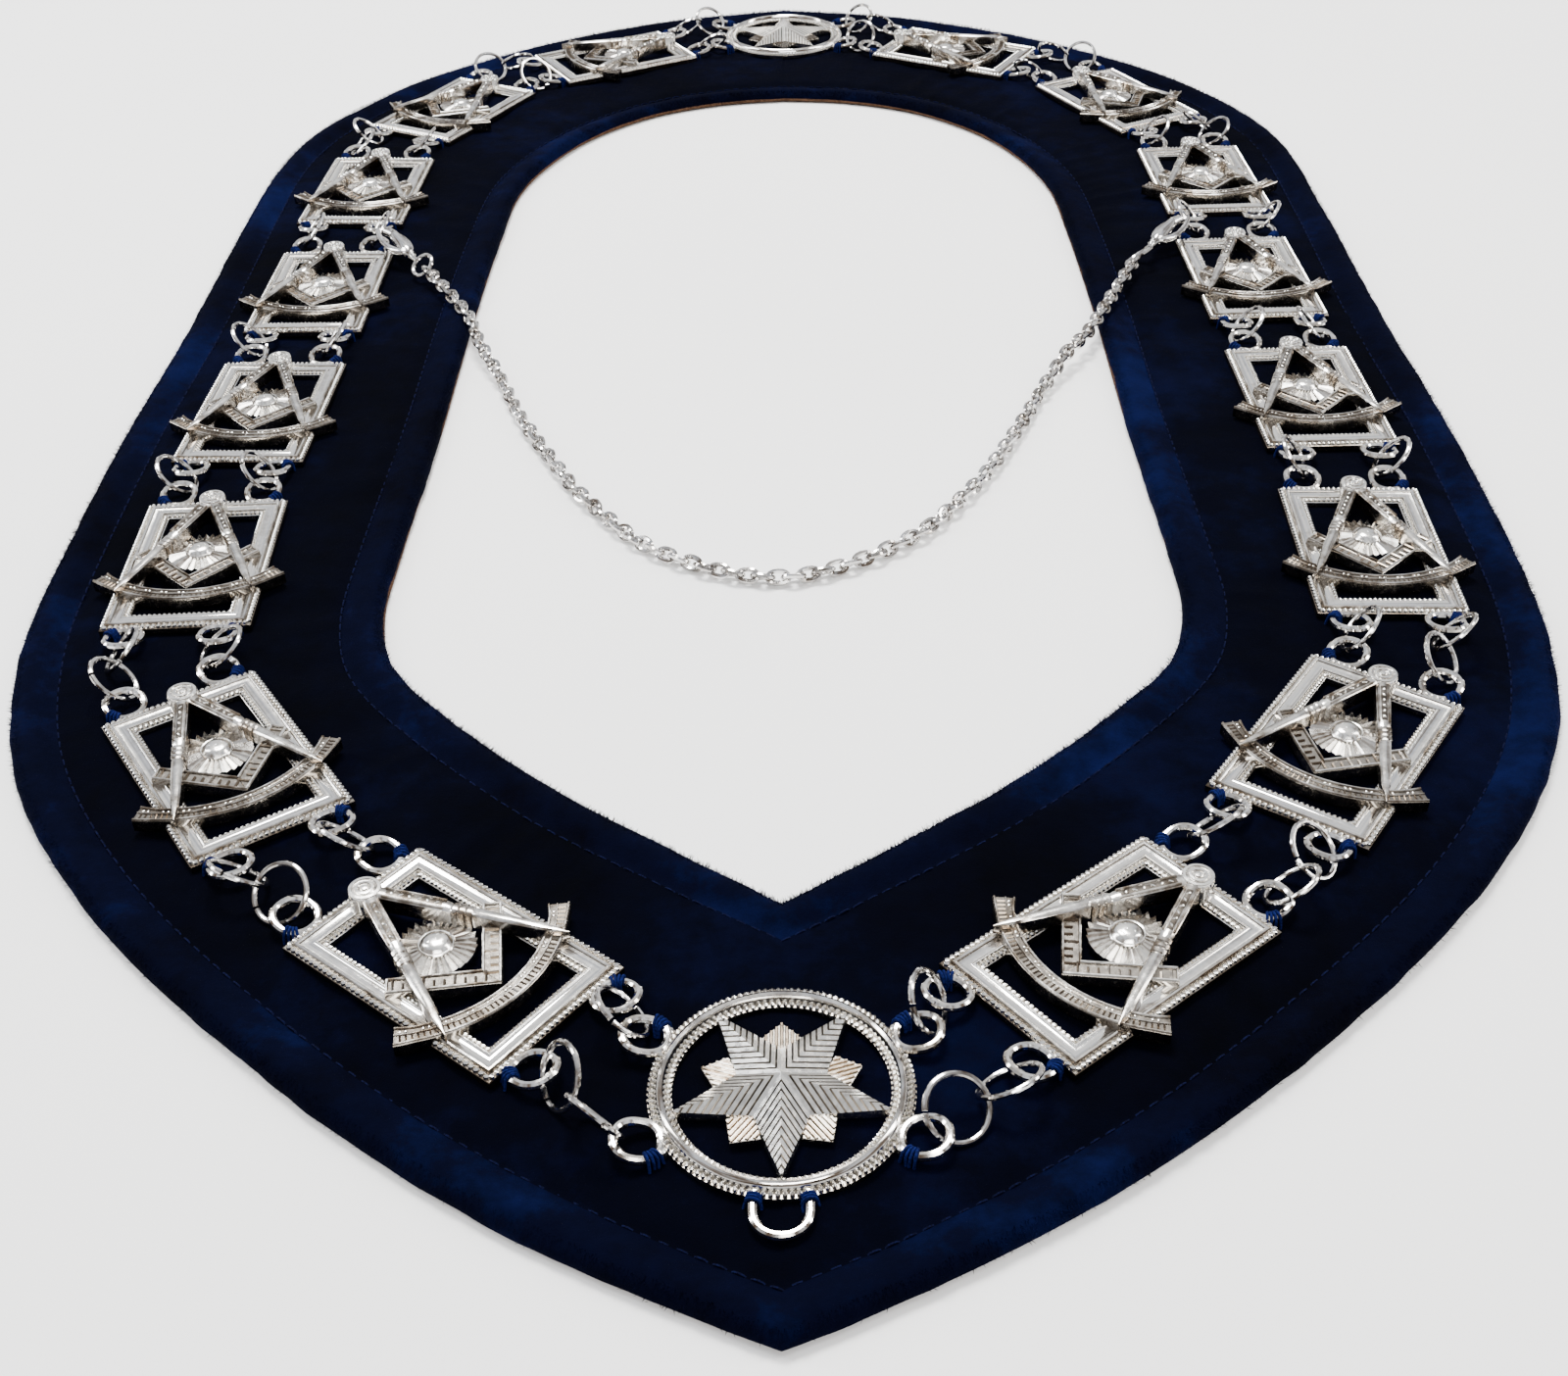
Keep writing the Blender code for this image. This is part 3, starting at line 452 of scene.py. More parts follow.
def loop_point(reach, angle):
    """A point of the middle line of a cast ring that stands out along +Y, at an angle in degrees."""
    half = LOOP_WIDTH / 2 - LOOP_WIRE / 2
    end = reach - LOOP_WIRE / 2
    cosine = math.cos(math.radians(angle))
    sine = math.sin(math.radians(angle))
    x = half * math.copysign(abs(cosine) ** 0.9, cosine)
    y = end / 2 * (1 + math.copysign(abs(sine) ** 0.9, sine))
    return Vector((x, y, LOOP_FOOT + (LOOP_BAR - LOOP_FOOT) * y / end))


def add_loop(shape, matrix, reach):
    """A cast ring with the solder that holds it to the edge."""
    path = [matrix @ loop_point(reach, 360 * step / 30) for step in range(30)]
    shape.tube(path, LOOP_WIRE / 2, 10, closed=True, material=1)
    for x in (-1.5, 1.5):
        spot = matrix @ Vector((x, 0.0, 0.0))
        shape.turned((spot.x, spot.y), ((0.9, 0.05), (0.9, 0.7), (0.75, 1.2), (0.4, 1.45), (0.02, 1.5)), 10)


def jewel_loop_points():
    """The open bow at the foot of the front star, which a jewel hangs from."""
    half = JEWEL_LOOP_WIDTH / 2 - LOOP_WIRE / 2
    end = JEWEL_LOOP_REACH - LOOP_WIRE / 2
    rows = [(-half * 0.92, -1.2), (-half, 0.6)]
    for step in range(15):
        angle = math.pi * (1 - step / 14)
        rows.append((half * math.cos(angle), end - half * 0.95 + half * 0.95 * math.sin(angle)))
    rows += [(half, 0.6), (half * 0.92, -1.2)]
    matrix = Matrix.Rotation(math.pi, 4, "Z") @ Matrix.Translation((0.0, STAR_RADIUS, 0.0))
    return [matrix @ Vector((x, y, LOOP_FOOT)) for x, y in rows]


def link_loop_matrix(end, side):
    """Where a loop stands on a link's end, front or back, left or right."""
    turn = Matrix.Rotation(0.0 if end > 0 else math.pi, 4, "Z")
    return Matrix.Translation((side * LOOP_OFFSET, end * LINK_LENGTH / 2, 0.0)) @ turn


def star_loop_matrix(side, row):
    """Where a loop stands on a medallion's rim."""
    foot = math.sqrt(STAR_RADIUS ** 2 - STAR_LOOP_SIDE ** 2)
    return (Matrix.Translation((side * foot, row * STAR_LOOP_SIDE, 0.0))
            @ Matrix.Rotation(-side * math.pi / 2, 4, "Z"))


def star_matrix(forward):
    """Where a medallion lies."""
    return Matrix.Translation((0.0, forward, LINK_FLOOR))


def link_matrix(side, number):
    """Where a link lies, counted from the front."""
    row = LINK_PLACES[number]
    x, y, turn = row[:3] if side < 0 else row[3:]
    return (Matrix.Translation((x * CHAIN_RUN, y * CHAIN_RUN, LINK_FLOOR))
            @ Matrix.Rotation(math.radians(turn), 4, "Z"))


# A cast link in its own millimetres

def rope(shape, corners, level, pitch, half_width, height):
    """Twisted rope edging as slanting beads around a closed outline."""
    count = len(corners)
    for k in range(count):
        start = Vector((*corners[k], level))
        end = Vector((*corners[(k + 1) % count], level))
        length = (end - start).length
        beads = max(2, round(length / pitch))
        heading = math.atan2(end.y - start.y, end.x - start.x)
        for step in range(beads):
            centre = start.lerp(end, (step + 0.5) / beads)
            shape.bead(centre, heading + ROPE_SLANT, half_width * 1.12, pitch * 0.46, height)


def build_frame(shape):
    """The moulded rectangle with rope along both of its edges."""
    # How far in from the edge, and how high
    profile = ((0.0, 0.0), (0.0, 1.15), (0.10, 1.28), (1.05, 1.28), (1.16, 1.30), (1.24, 1.80), (1.42, 1.97),
               (1.72, 1.99), (1.92, 1.86), (2.02, 1.62), (2.40, 1.46), (2.90, 1.40), (3.40, 1.46),
               (3.72, 1.62), (3.84, 1.72), (4.02, 1.72), (4.14, 1.56), (4.20, 1.05), (5.08, 1.02),
               (5.2, 0.92), (5.2, 0.0))

    def corner(signs, inward):
        return signs[0] * (LINK_WIDTH / 2 - inward), signs[1] * (LINK_LENGTH / 2 - inward)

    rings = [[Vector((*corner(signs, inward), height)) for inward, height in profile] for signs in CORNERS]
    # Sides numbered 2 take the darker nickel as painted shade under the ropes, in the grooves and on the inner
    # wall; sides numbered 1 take polished nickel
    shape.loft(rings, closed=True, strips={2: 2, 3: 2, 6: 1, 8: 2, 10: 1, 11: 1, 12: 1, 15: 2, 17: 2, 19: 2})
    for inward, level, pitch, half_width, height in ((0.56, 1.24, 1.08, 0.54, 0.78),
                                                     (4.68, 1.0, 0.96, 0.44, 0.66)):
        rope(shape, [corner(signs, inward) for signs in CORNERS], level, pitch, half_width, height)


def oriented_bar(shape, start, end, stations, material=0):
    """A chamfered bar between two points: rows of share, half width, base, top."""
    along = (end - start).normalized()
    across = Vector((-along.y, along.x))
    rings = []
    for share, half, base, top in stations:
        middle = start.lerp(end, share)
        ring = []
        for off, level in ((-1.0, base), (-1.0, top - 0.38), (-0.62, top - 0.06), (0.0, top),
                           (0.62, top - 0.06), (1.0, top - 0.38), (1.0, base)):
            spot = middle + across * half * off
            ring.append(Vector((spot.x, spot.y, level)))
        rings.append(ring)
    shape.loft(rings, material=material)


def build_compasses(shape):
    """Two legs with turned bands, and the ringed hinge above them."""
    hinge = Vector((0.0, HINGE_Y))
    for side in (-1, 1):
        point = Vector((side * COMPASS_POINT[0], COMPASS_POINT[1]))
        # Share of the leg, half width, base and top
        rows = [(0.02, 1.30, 1.7, 5.1), (0.30, 1.28, 1.7, 4.95), (0.42, 1.18, 1.7, 4.85),
                (0.445, 1.02, 1.7, 4.62)]
        for start in (0.455, 0.492, 0.529):
            rows += [(start, 1.22, 1.7, 4.85), (start + 0.022, 1.22, 1.7, 4.82),
                     (start + 0.028, 1.0, 1.7, 4.6)]
        rows += [(0.575, 1.08, 1.7, 4.72), (0.75, 0.95, 1.7, 4.55), (0.90, 0.78, 1.75, 4.40),
                 (0.97, 0.52, 1.9, 4.30), (1.03, 0.12, 2.4, 4.05)]
        oriented_bar(shape, hinge, point, rows)
        # A raised border and chased marks run down the broad upper part
        along = (point - hinge).normalized()
        across = Vector((-along.y, along.x))
        # The broad upper part is in the darker nickel, as painted shade; its rims and marks stay bright
        oriented_bar(shape, hinge, point, [(0.11, 0.80, 4.3, 5.10), (0.40, 0.80, 4.3, 4.92)], 2)
        for off in (-0.95, 0.95):
            path = [Vector((*(hinge.lerp(point, share) + across * off), 5.10 - 0.6 * share))
                    for share in (0.10, 0.2, 0.3, 0.41)]
            shape.tube(path, 0.22, 6)
        for step in range(6):
            share = 0.14 + step * 0.046
            spot = hinge.lerp(point, share)
            heading = math.atan2(along.y, along.x) + (0.7 if step % 2 else -0.7)
            shape.bead(Vector((spot.x, spot.y, 5.03 - 0.6 * share)), heading, 0.56, 0.26, 0.36)
    shape.turned(hinge, ((2.75, 0.9), (2.8, 4.95), (2.62, 5.22), (2.15, 5.26), (2.0, 5.02), (1.7, 5.0),
                         (1.55, 5.26), (1.15, 5.30), (1.0, 5.08), (0.72, 5.08), (0.55, 5.34),
                         (0.02, 5.42)), 28)


def build_square(shape):
    """The square's two arms with raised rims and ruled marks."""
    slope = math.sqrt(0.5)
    for side in (-1, 1):
        start = Vector((0.0, SQUARE_CORNER_Y + 2 * SQUARE_HALF * slope))
        way = Vector((side * slope, slope))
        normal = Vector((side * slope, -slope))
        arm = SQUARE_ARM - SQUARE_HALF
        outline = [(start.x + way.x * a + normal.x * b, start.y + way.y * a + normal.y * b)
                   for a, b in ((-SQUARE_HALF, SQUARE_HALF), (arm, SQUARE_HALF), (arm, -SQUARE_HALF),
                                (SQUARE_HALF, -SQUARE_HALF))]
        if side < 0:
            outline = outline[::-1]
        # The arms are in the darker nickel, as painted shade; their rims and marks stay bright
        shape.prism(outline, 0.5, 2.62, 0.10, 2)
        for off in (-1.36, 1.36):
            reach = (-1.36, 16.45) if off > 0 else (1.36, 16.45)
            path = [Vector((*(start + way * a + normal * off), 2.78)) for a in np.linspace(*reach, 6)]
            shape.tube(path, 0.24, 6)
        cap = [Vector((*(start + way * 16.4 + normal * off), 2.78)) for off in (-1.36, 0.0, 1.36)]
        shape.tube(cap, 0.24, 6)
        for mark in range(10):
            a = 0.9 + mark * 1.62
            near = start + way * a + normal * 1.3
            far = start + way * a + normal * (-0.25 if mark % 3 else -1.3)
            shape.tube([Vector((near.x, near.y, 2.72)), Vector((far.x, far.y, 2.72))], 0.23, 5)


def build_arc(shape):
    """The graduated arc, with ruled marks between two raised rims."""
    middle = ARC_RADIUS + ARC_LOW
    steps = 36

    def spot(radius, share, height):
        angle = math.radians(-90 - ARC_HALF_TURN + 2 * ARC_HALF_TURN * share)
        return Vector((radius * math.cos(angle), middle + radius * math.sin(angle), height))

    def flare(share):
        return max(0.0, 1 - min(share, 1 - share) / 0.07)

    rings = []
    for step in range(steps + 1):
        share = step / steps
        wide = flare(share)
        inner = 23.8 - 0.25 * wide
        outer = 27.0 + 0.35 * wide
        corners = ((inner, 0.5), (outer, 0.5), (outer, 2.7), (outer - 0.12, 2.8), (inner + 0.12, 2.8),
                   (inner, 2.7))
        rings.append([spot(radius, share, height) for radius, height in corners])
    # The arc's body is in the darker nickel, as painted shade
    shape.loft(rings, material=2)
    for radius, spread in ((24.05, -0.25), (26.75, 0.35), (25.2, 0.0)):
        path = [spot(radius + spread * flare(step / steps), step / steps, 2.9) for step in range(steps + 1)]
        shape.tube(path, 0.23 if spread else 0.14, 6)
    for mark in range(1, 44):
        share = mark / 44
        shape.tube([spot(25.3, share, 2.86), spot(26.6, share, 2.86)], 0.16, 4)
        if mark % 4 in (1, 2):
            heading = math.radians(ARC_HALF_TURN - 2 * ARC_HALF_TURN * share)
            shape.bead(spot(24.62, share, 2.78), heading, 0.34, 0.22, 0.26)


def build_sun(shape):
    """A small domed disc with rays, its face left plain and calm."""
    centre = Vector((0.0, SUN_Y))
    rays = 28
    rings = []
    for radius, low, high in ((6.6, 0.8, 0.8), (6.65, 1.1, 1.9), (5.6, 1.2, 2.12), (3.1, 1.75, 2.3),
                              (2.7, 2.0, 2.3)):
        ring = []
        for step in range(rays * 2):
            angle = math.pi * step / rays
            reach = radius if step % 2 == 0 or radius < 6.0 else radius - 0.5
            ring.append(Vector((centre.x + reach * math.cos(angle), centre.y + reach * math.sin(angle),
                                high if step % 2 == 0 else low)))
        rings.append(ring)
    shape.loft(rings)
    shape.turned(centre, ((3.05, 1.9), (3.05, 2.25), (2.88, 2.42), (2.70, 2.36), (2.57, 2.45), (2.27, 2.85),
                          (1.75, 3.12), (1.05, 3.28), (0.45, 3.33), (0.02, 3.34)), 28)
    for x, y, half, height in ((-0.95, 0.55, 0.50, 0.16), (0.95, 0.55, 0.50, 0.16), (0.0, -0.15, 0.28, 0.30),
                               (0.0, -1.25, 0.62, 0.16)):
        shape.bead(Vector((centre.x + x, centre.y + y, 3.14)), 0.0, half, 0.24, height)


def link_mesh():
    """A whole link, which all sixteen share."""
    shape = Shape()
    build_frame(shape)
    build_arc(shape)
    build_sun(shape)
    build_square(shape)
    build_compasses(shape)
    for end, side in CORNERS:
        add_loop(shape, link_loop_matrix(end, side), LOOP_REACH)
    return shape.mesh("cast_link", (CAST, POLISHED, SHADE))


# A star medallion in its own millimetres

def star_mesh(name, point_way, jewel_loop):
    """A medallion, its star's point to the front or back, with or without the jewel's bow."""
    shape = Shape()
    profile = ((20.0, 0.0), (20.0, 0.85), (18.95, 0.9), (18.85, 1.7), (18.5, 2.2), (18.1, 2.4), (17.7, 2.2),
               (17.35, 1.6), (17.25, 0.8), (16.35, 0.75), (16.3, 0.0))
    rings = [[Vector((radius * cosine, radius * sine, height)) for radius, height in profile]
             for cosine, sine in turns(96)]
    # The ledges under the beads and the inner wall are in the darker nickel, as painted shade; the raised crest
    # is polished
    shape.loft(rings, closed=True, strips={1: 2, 3: 1, 4: 1, 5: 1, 6: 1, 8: 2, 9: 2})
    for beads, radius, level, skew, half_length, half_width, height in (
            (120, 19.44, 0.84, 0.0, 0.62, 0.45, 0.96), (104, 16.82, 0.72, 0.3, 0.56, 0.42, 0.76)):
        for step in range(beads):
            angle = math.tau * (step + 0.5) / beads
            spot = Vector((radius * math.cos(angle), radius * math.sin(angle), level))
            shape.bead(spot, angle + skew, half_length, half_width, height)
    apex = Vector((0.0, 0.0, 4.4))
    ribs = 11
    for step in range(10):
        tips = []
        for turn in (step, step + 1):
            angle = point_way * math.pi / 2 + math.pi * turn / 5
            radius, top = (17.0, 2.1) if turn % 2 == 0 else (7.1, 1.6)
            tips.append(Vector((radius * math.cos(angle), radius * math.sin(angle), top)))
        tip, notch = (tips[0], tips[1]) if step % 2 == 0 else (tips[1], tips[0])
        points = []
        for row in range(ribs * 3):
            share = (row // 3 + (0.0, 0.66, 0.83)[row % 3]) / ribs
            deep = 1 - share * 0.45 if row % 3 == 2 else 0.0
            edge = notch.lerp(tip, share) * (1 - 0.03 * deep)
            edge.z = notch.lerp(tip, share).z - 0.50 * deep
            points += [apex.lerp(tip, share) - Vector((0, 0, 0.22 * deep)), edge]
        points.append(tip)
        faces = []
        numbers = []
        for row in range(ribs * 3 - 1):
            quad = (row * 2, row * 2 + 1, row * 2 + 3, row * 2 + 2)
            faces.append(quad if step % 2 else quad[::-1])
            # Rib grooves take the darker nickel, as painted shade
            numbers.append(0 if row % 3 == 0 else 2)
        last = (ribs * 3 - 1) * 2
        faces.append((last, last + 1, last + 2) if step % 2 else (last + 2, last + 1, last))
        numbers.append(0)
        shape.add(points, faces, numbers)
        wall = [Vector((notch.x, notch.y, 0.4)), Vector((tip.x, tip.y, 0.4)), tip, notch]
        shape.add(wall, [(0, 1, 2, 3) if step % 2 else (3, 2, 1, 0)])
    for number in range(5):
        angle = -point_way * math.pi / 2 + math.tau * number / 5
        centre = Vector((9.5 * math.cos(angle), 9.5 * math.sin(angle)))
        out = Vector((math.cos(angle), math.sin(angle)))
        side = Vector((-out.y, out.x))
        outline = [tuple(centre + way * 3.2) for way in (out, side, -out, -side)]
        # The plates between the star's points are in the darker nickel, as painted shade; their ridges stay
        # bright
        shape.prism(outline, 0.4, 1.15, 0.1, 2)
        for mark in range(-3, 4):
            offset = mark * 0.80
            reach = 3.0 - abs(offset)
            path = [Vector((*(centre + side * offset + out * k * reach), 1.2)) for k in (-1.0, 1.0)]
            shape.tube(path, 0.30, 6)
    for side, row in CORNERS:
        add_loop(shape, star_loop_matrix(side, row), STAR_LOOP_REACH)
    if jewel_loop:
        shape.tube(jewel_loop_points(), LOOP_WIRE / 2, 10, material=1)
    return shape.mesh(name, (CAST, POLISHED, SHADE), 30.0)


# Jump rings, read from the solids that they stand for

def fit_circle(points):
    """The centre and the axis of a ring of wire, from points on it."""
    middle = points.mean(axis=0)
    _, _, ways = np.linalg.svd(points - middle)
    flat = (points - middle) @ ways[:2].T
    left = np.column_stack([2 * flat, np.ones(len(flat))])
    solved, *_ = np.linalg.lstsq(left, (flat ** 2).sum(axis=1), rcond=None)
    centre = middle + solved[:2] @ ways[:2]
    normal = ways[2] if ways[2][2] >= 0 else -ways[2]
    return Vector(centre), Vector(normal)


def node_rings(node):
    """Each ring of a strand, in millimetres."""
    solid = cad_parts[node]
    points = np.array([tuple(solid.matrix_world @ vertex.co) for vertex in solid.data.vertices]) / MM
    middle = points.mean(axis=0)
    _, _, ways = np.linalg.svd(points - middle)
    along = (points - middle) @ ways[0]
    if along.max() - along.min() < 13.0:
        return [fit_circle(points)]
    centre = (along.max() + along.min()) / 2
    return [fit_circle(points[along < centre - 1.0]), fit_circle(points[along > centre + 1.0])]


def add_ring(shape, centre, normal, cut_at):
    """An open jump ring, its cut ends just apart."""
    tangent = normal.cross(Vector((0.3, 1.0, 0.2))).normalized()
    other = normal.cross(tangent).normalized()
    path = []
    steps = 46
    gap = 0.045
    for step in range(steps + 1):
        angle = cut_at + gap + (math.tau - 2 * gap) * step / steps
        drift = 0.10 * (step / steps - 0.5)
        path.append(centre + RING_RADIUS * (math.cos(angle) * tangent + math.sin(angle) * other)
                    + normal * drift)
    shape.tube(path, RING_WIRE / 2, 10, up=normal)


def make_rings():
    """Every strand's rings, and points along their wire for the velvet to dent under."""
    samples = []
    for side in ("left", "right"):
        for strand in ("inner", "outer"):
            for gap in range(1, LINKS_PER_SIDE + 2):
                node = "rings_%s_%s_%d" % (side, strand, gap)
                shape = Shape()
                for centre, normal in node_rings(node):
                    add_ring(shape, centre, normal, random.uniform(0.4, 2.6))
                place("jump_" + node, shape.mesh("jump_" + node, (WIRE,)), node)
                samples += [point for point in shape.points if point[2] < 3.6]
    return np.array(samples)


# The clasps and the safety chain

def clasp_matrix(side):
    """Where a clasp lies: its hook around the inner ring of the sixth gap."""
    node = "rings_%s_inner_6" % ("left" if side < 0 else "right")
    centre, normal = node_rings(node)[0]
    level = LINK_FLOOR + LOOP_BAR + LOOP_WIRE / 2 + 0.3 + CLASP_BODY / 2 + CLASP_LENGTH * 0.03
    tangent = normal.cross(Vector((0.0, 0.0, 1.0))).normalized()
    other = normal.cross(tangent).normalized()
    wire = None
    for step in range(360):
        angle = math.radians(step)
        point = centre + RING_RADIUS * (math.cos(angle) * tangent + math.sin(angle) * other)
        if point.y < centre.y and (wire is None or abs(point.z - level) < abs(wire.z - level)):
            wire = point
    turn = math.radians(CLASP_BEARINGS[0 if side < 0 else 1])
    away = Vector((math.cos(turn), math.sin(turn), 0.0))
    start = wire - away * (CLASP_WIRE + RING_WIRE / 2 + 0.6)
    return (Matrix.Translation((start.x, start.y, level)) @ Matrix.Rotation(turn, 4, "Z")
            @ Matrix.Rotation(math.radians(4.0), 4, "Y"))


def clasp_mesh(name, way):
    """A lobster clasp: hooked body, thick on the side that way names, swivel stem and open ring."""
    shape = Shape()
    half = (CLASP_WIDTH - CLASP_WIRE) / 2
    reach = CLASP_LENGTH - CLASP_BODY / 2 - CLASP_WIRE / 2 - 2 * half
    path = []
    radii = []
    steps = 44
    for step in range(steps):
        angle = math.pi + math.tau * step / steps
        ahead = 0.5 + 0.5 * math.cos(angle)
        middle = CLASP_WIRE / 2 + half + reach * ahead ** 0.55
        path.append(Vector((middle + half * math.cos(angle), half * math.sin(angle), 0.0)))
        thick = max(0.0, math.cos(angle)) ** 0.6 + max(0.0, way * math.sin(angle)) ** 0.5 * 0.9
        radii.append(CLASP_WIRE / 2 + (CLASP_BODY - CLASP_WIRE) / 2 * min(1.0, thick))
    shape.tube(path, radii, 12, closed=True)
    # The broad back of the body, the lever's pad and the swivel's stem: x, y, height and radius
    back = [(CLASP_LENGTH * share, way * (half - lean), 0.0, radius) for share, lean, radius in
            ((0.16, 0.1, 0.65), (0.26, 0.3, 1.05), (0.40, 0.7, 1.45), (0.56, 1.1, 1.75), (0.72, 1.5, 1.9),
             (0.86, 1.9, 1.85), (0.95, 2.2, 1.5), (1.0, 2.4, 0.9))]
    pad = [(CLASP_LENGTH * share, -way * (half + out), height, radius) for share, out, height, radius in
           ((0.62, 0.5, 0.0, 0.5), (0.66, 1.0, 0.1, 0.62), (0.70, 1.2, 0.1, 0.35))]
    stem = [(CLASP_LENGTH + ahead, 0.0, 0.0, radius) for ahead, radius in
            ((-2.0, 1.0), (-0.6, 1.1), (0.0, 1.45), (0.5, 1.45), (0.9, 0.85), (1.5, 0.85), (2.1, 1.25),
             (2.6, 0.8), (CLASP_NECK + 0.2, 0.7))]
    for rows, sides in ((back, 14), (pad, 8), (stem, 12)):
        shape.tube([Vector(row[:3]) for row in rows], [row[3] for row in rows], sides)
    radius = (CLASP_RING - CLASP_RING_WIRE) / 2
    lean = math.radians(40)
    normal = Vector((0.0, -math.sin(lean), math.cos(lean)))
    sideways = Vector((0.0, math.cos(lean), math.sin(lean)))
    ring = []
    for step in range(40):
        angle = math.tau * step / 40 * 0.985 + 0.1
        ring.append(Vector((CLASP_LENGTH + CLASP_NECK + radius, 0.0, 0.0))
                    + radius * (math.cos(angle) * Vector((1.0, 0.0, 0.0)) + math.sin(angle) * sideways))
    shape.tube(ring, CLASP_RING_WIRE / 2, 10, up=normal)
    return shape.mesh(name, (WIRE,))


def chain_points():
    """The chain's middle line at each link, from one clasp ring to the other."""
    reach = CLASP_LENGTH + CLASP_NECK + CLASP_RING - CLASP_RING_WIRE - 1.0
    rows = [tuple(clasp_matrix(-1) @ Vector((reach, 0.0, 0.0)))]
    rows += [(x * CHAIN_RUN, y * CHAIN_RUN, z) for x, y, z in CHAIN_ROUTE]
    rows.append(tuple(clasp_matrix(1) @ Vector((reach, 0.0, 0.0))))
    fine = [Vector(row) for row in smooth_rows(rows, 40)]
    lengths = [0.0]
    for before, after in zip(fine, fine[1:]):
        lengths.append(lengths[-1] + (after - before).length)
    count = int(lengths[-1] / CHAIN_PITCH)
    points = []
    index = 0
    for step in range(count + 1):
        target = lengths[-1] * step / count
        while index < len(fine) - 2 and lengths[index + 1] < target:
            index += 1
        share = (target - lengths[index]) / (lengths[index + 1] - lengths[index])
        points.append(fine[index].lerp(fine[index + 1], min(max(share, 0.0), 1.0)))
    return points


def make_chain():
    """Flattened curb links, each through the next."""
    shape = Shape()
    points = chain_points()
    for index, (start, end) in enumerate(zip(points, points[1:])):
        middle = (start + end) / 2
        along = (end - start).normalized()
        level = Vector((-along.y, along.x, 0.0)).normalized()
        roll = math.radians((42 if index % 2 else -38) + random.uniform(-14, 14))
        across = math.cos(roll) * level + math.sin(roll) * along.cross(level)
        normal = along.cross(across)
        path = []
        for step in range(16):
            angle = math.tau * step / 16
            stretch = math.copysign(abs(math.cos(angle)) ** 0.8, math.cos(angle))
            path.append(middle + along * 2.25 * stretch + across * 1.32 * math.sin(angle)
                        + normal * 0.16 * math.sin(2 * angle))
        shape.tube(path, CHAIN_WIRE_RADIUS, 7, closed=True, up=normal)
    mesh = shape.mesh("safety_chain_links", (WIRE,))
    place("safety_chain_links", mesh, "safety_chain")


# The velvet

def edge_height(distance):
    """The top of the band near an edge."""
    if distance < ROLL_WIDTH:
        share = (ROLL_WIDTH - distance) / ROLL_WIDTH
        return ROLL_FOOT + (ROLL_TOP - ROLL_FOOT) * math.sqrt(max(0.0, 1 - share ** 2))
    if distance < GROOVE_AT:
        share = (distance - ROLL_WIDTH) / (GROOVE_AT - ROLL_WIDTH)
        return GROOVE_LEVEL + (ROLL_TOP - GROOVE_LEVEL) * (0.5 + 0.5 * math.cos(math.pi * share)) ** 0.8
    if distance < PADDING_AT:
        share = (distance - GROOVE_AT) / (PADDING_AT - GROOVE_AT)
        return GROOVE_LEVEL + (PADDING_LEVEL - GROOVE_LEVEL) * math.sin(share * math.pi / 2)
    return PADDING_LEVEL


def band_stations():
    """Inner edge, way across and width, all around the band."""
    half = []
    for side, forward, bearing, width in smooth_rows(BAND_SECTIONS, 34):
        half.append((Vector((side * CHAIN_RUN, forward * CHAIN_RUN, 0.0)),
                     Vector((math.cos(math.radians(bearing)), math.sin(math.radians(bearing)), 0.0)),
                     width * BAND_WIDTH))
    mirrored = [(Vector((-inner.x, inner.y, 0.0)), Vector((-across.x, across.y, 0.0)), width)
                for inner, across, width in half[-2:0:-1]]
    return half + mirrored


def dent(points, samples):
    """Press the band's top down under the wires that lie on it."""
    cells = {}
    for x, y, z in samples:
        key = (math.floor(x / DENT_CELL), math.floor(y / DENT_CELL))
        if key not in cells or cells[key][2] > z:
            cells[key] = (x, y, z)
    around = [(a, b) for a in range(-4, 5) for b in range(-4, 5)]
    near_cells = {(column + a, line + b) for column, line in cells for a, b in around}
    for index in np.nonzero(points[:, 2] > 1.5)[0]:
        x, y, limit = points[index]
        column = math.floor(x / DENT_CELL)
        line = math.floor(y / DENT_CELL)
        if (column, line) not in near_cells:
            continue
        for a, b in around:
            low = cells.get((column + a, line + b))
            if low:
                away = math.hypot(low[0] - x, low[1] - y)
                limit = min(limit, low[2] - 0.10 + max(0.0, away - 1.1) * 0.55)
        points[index, 2] = max(limit, ROLL_FOOT)


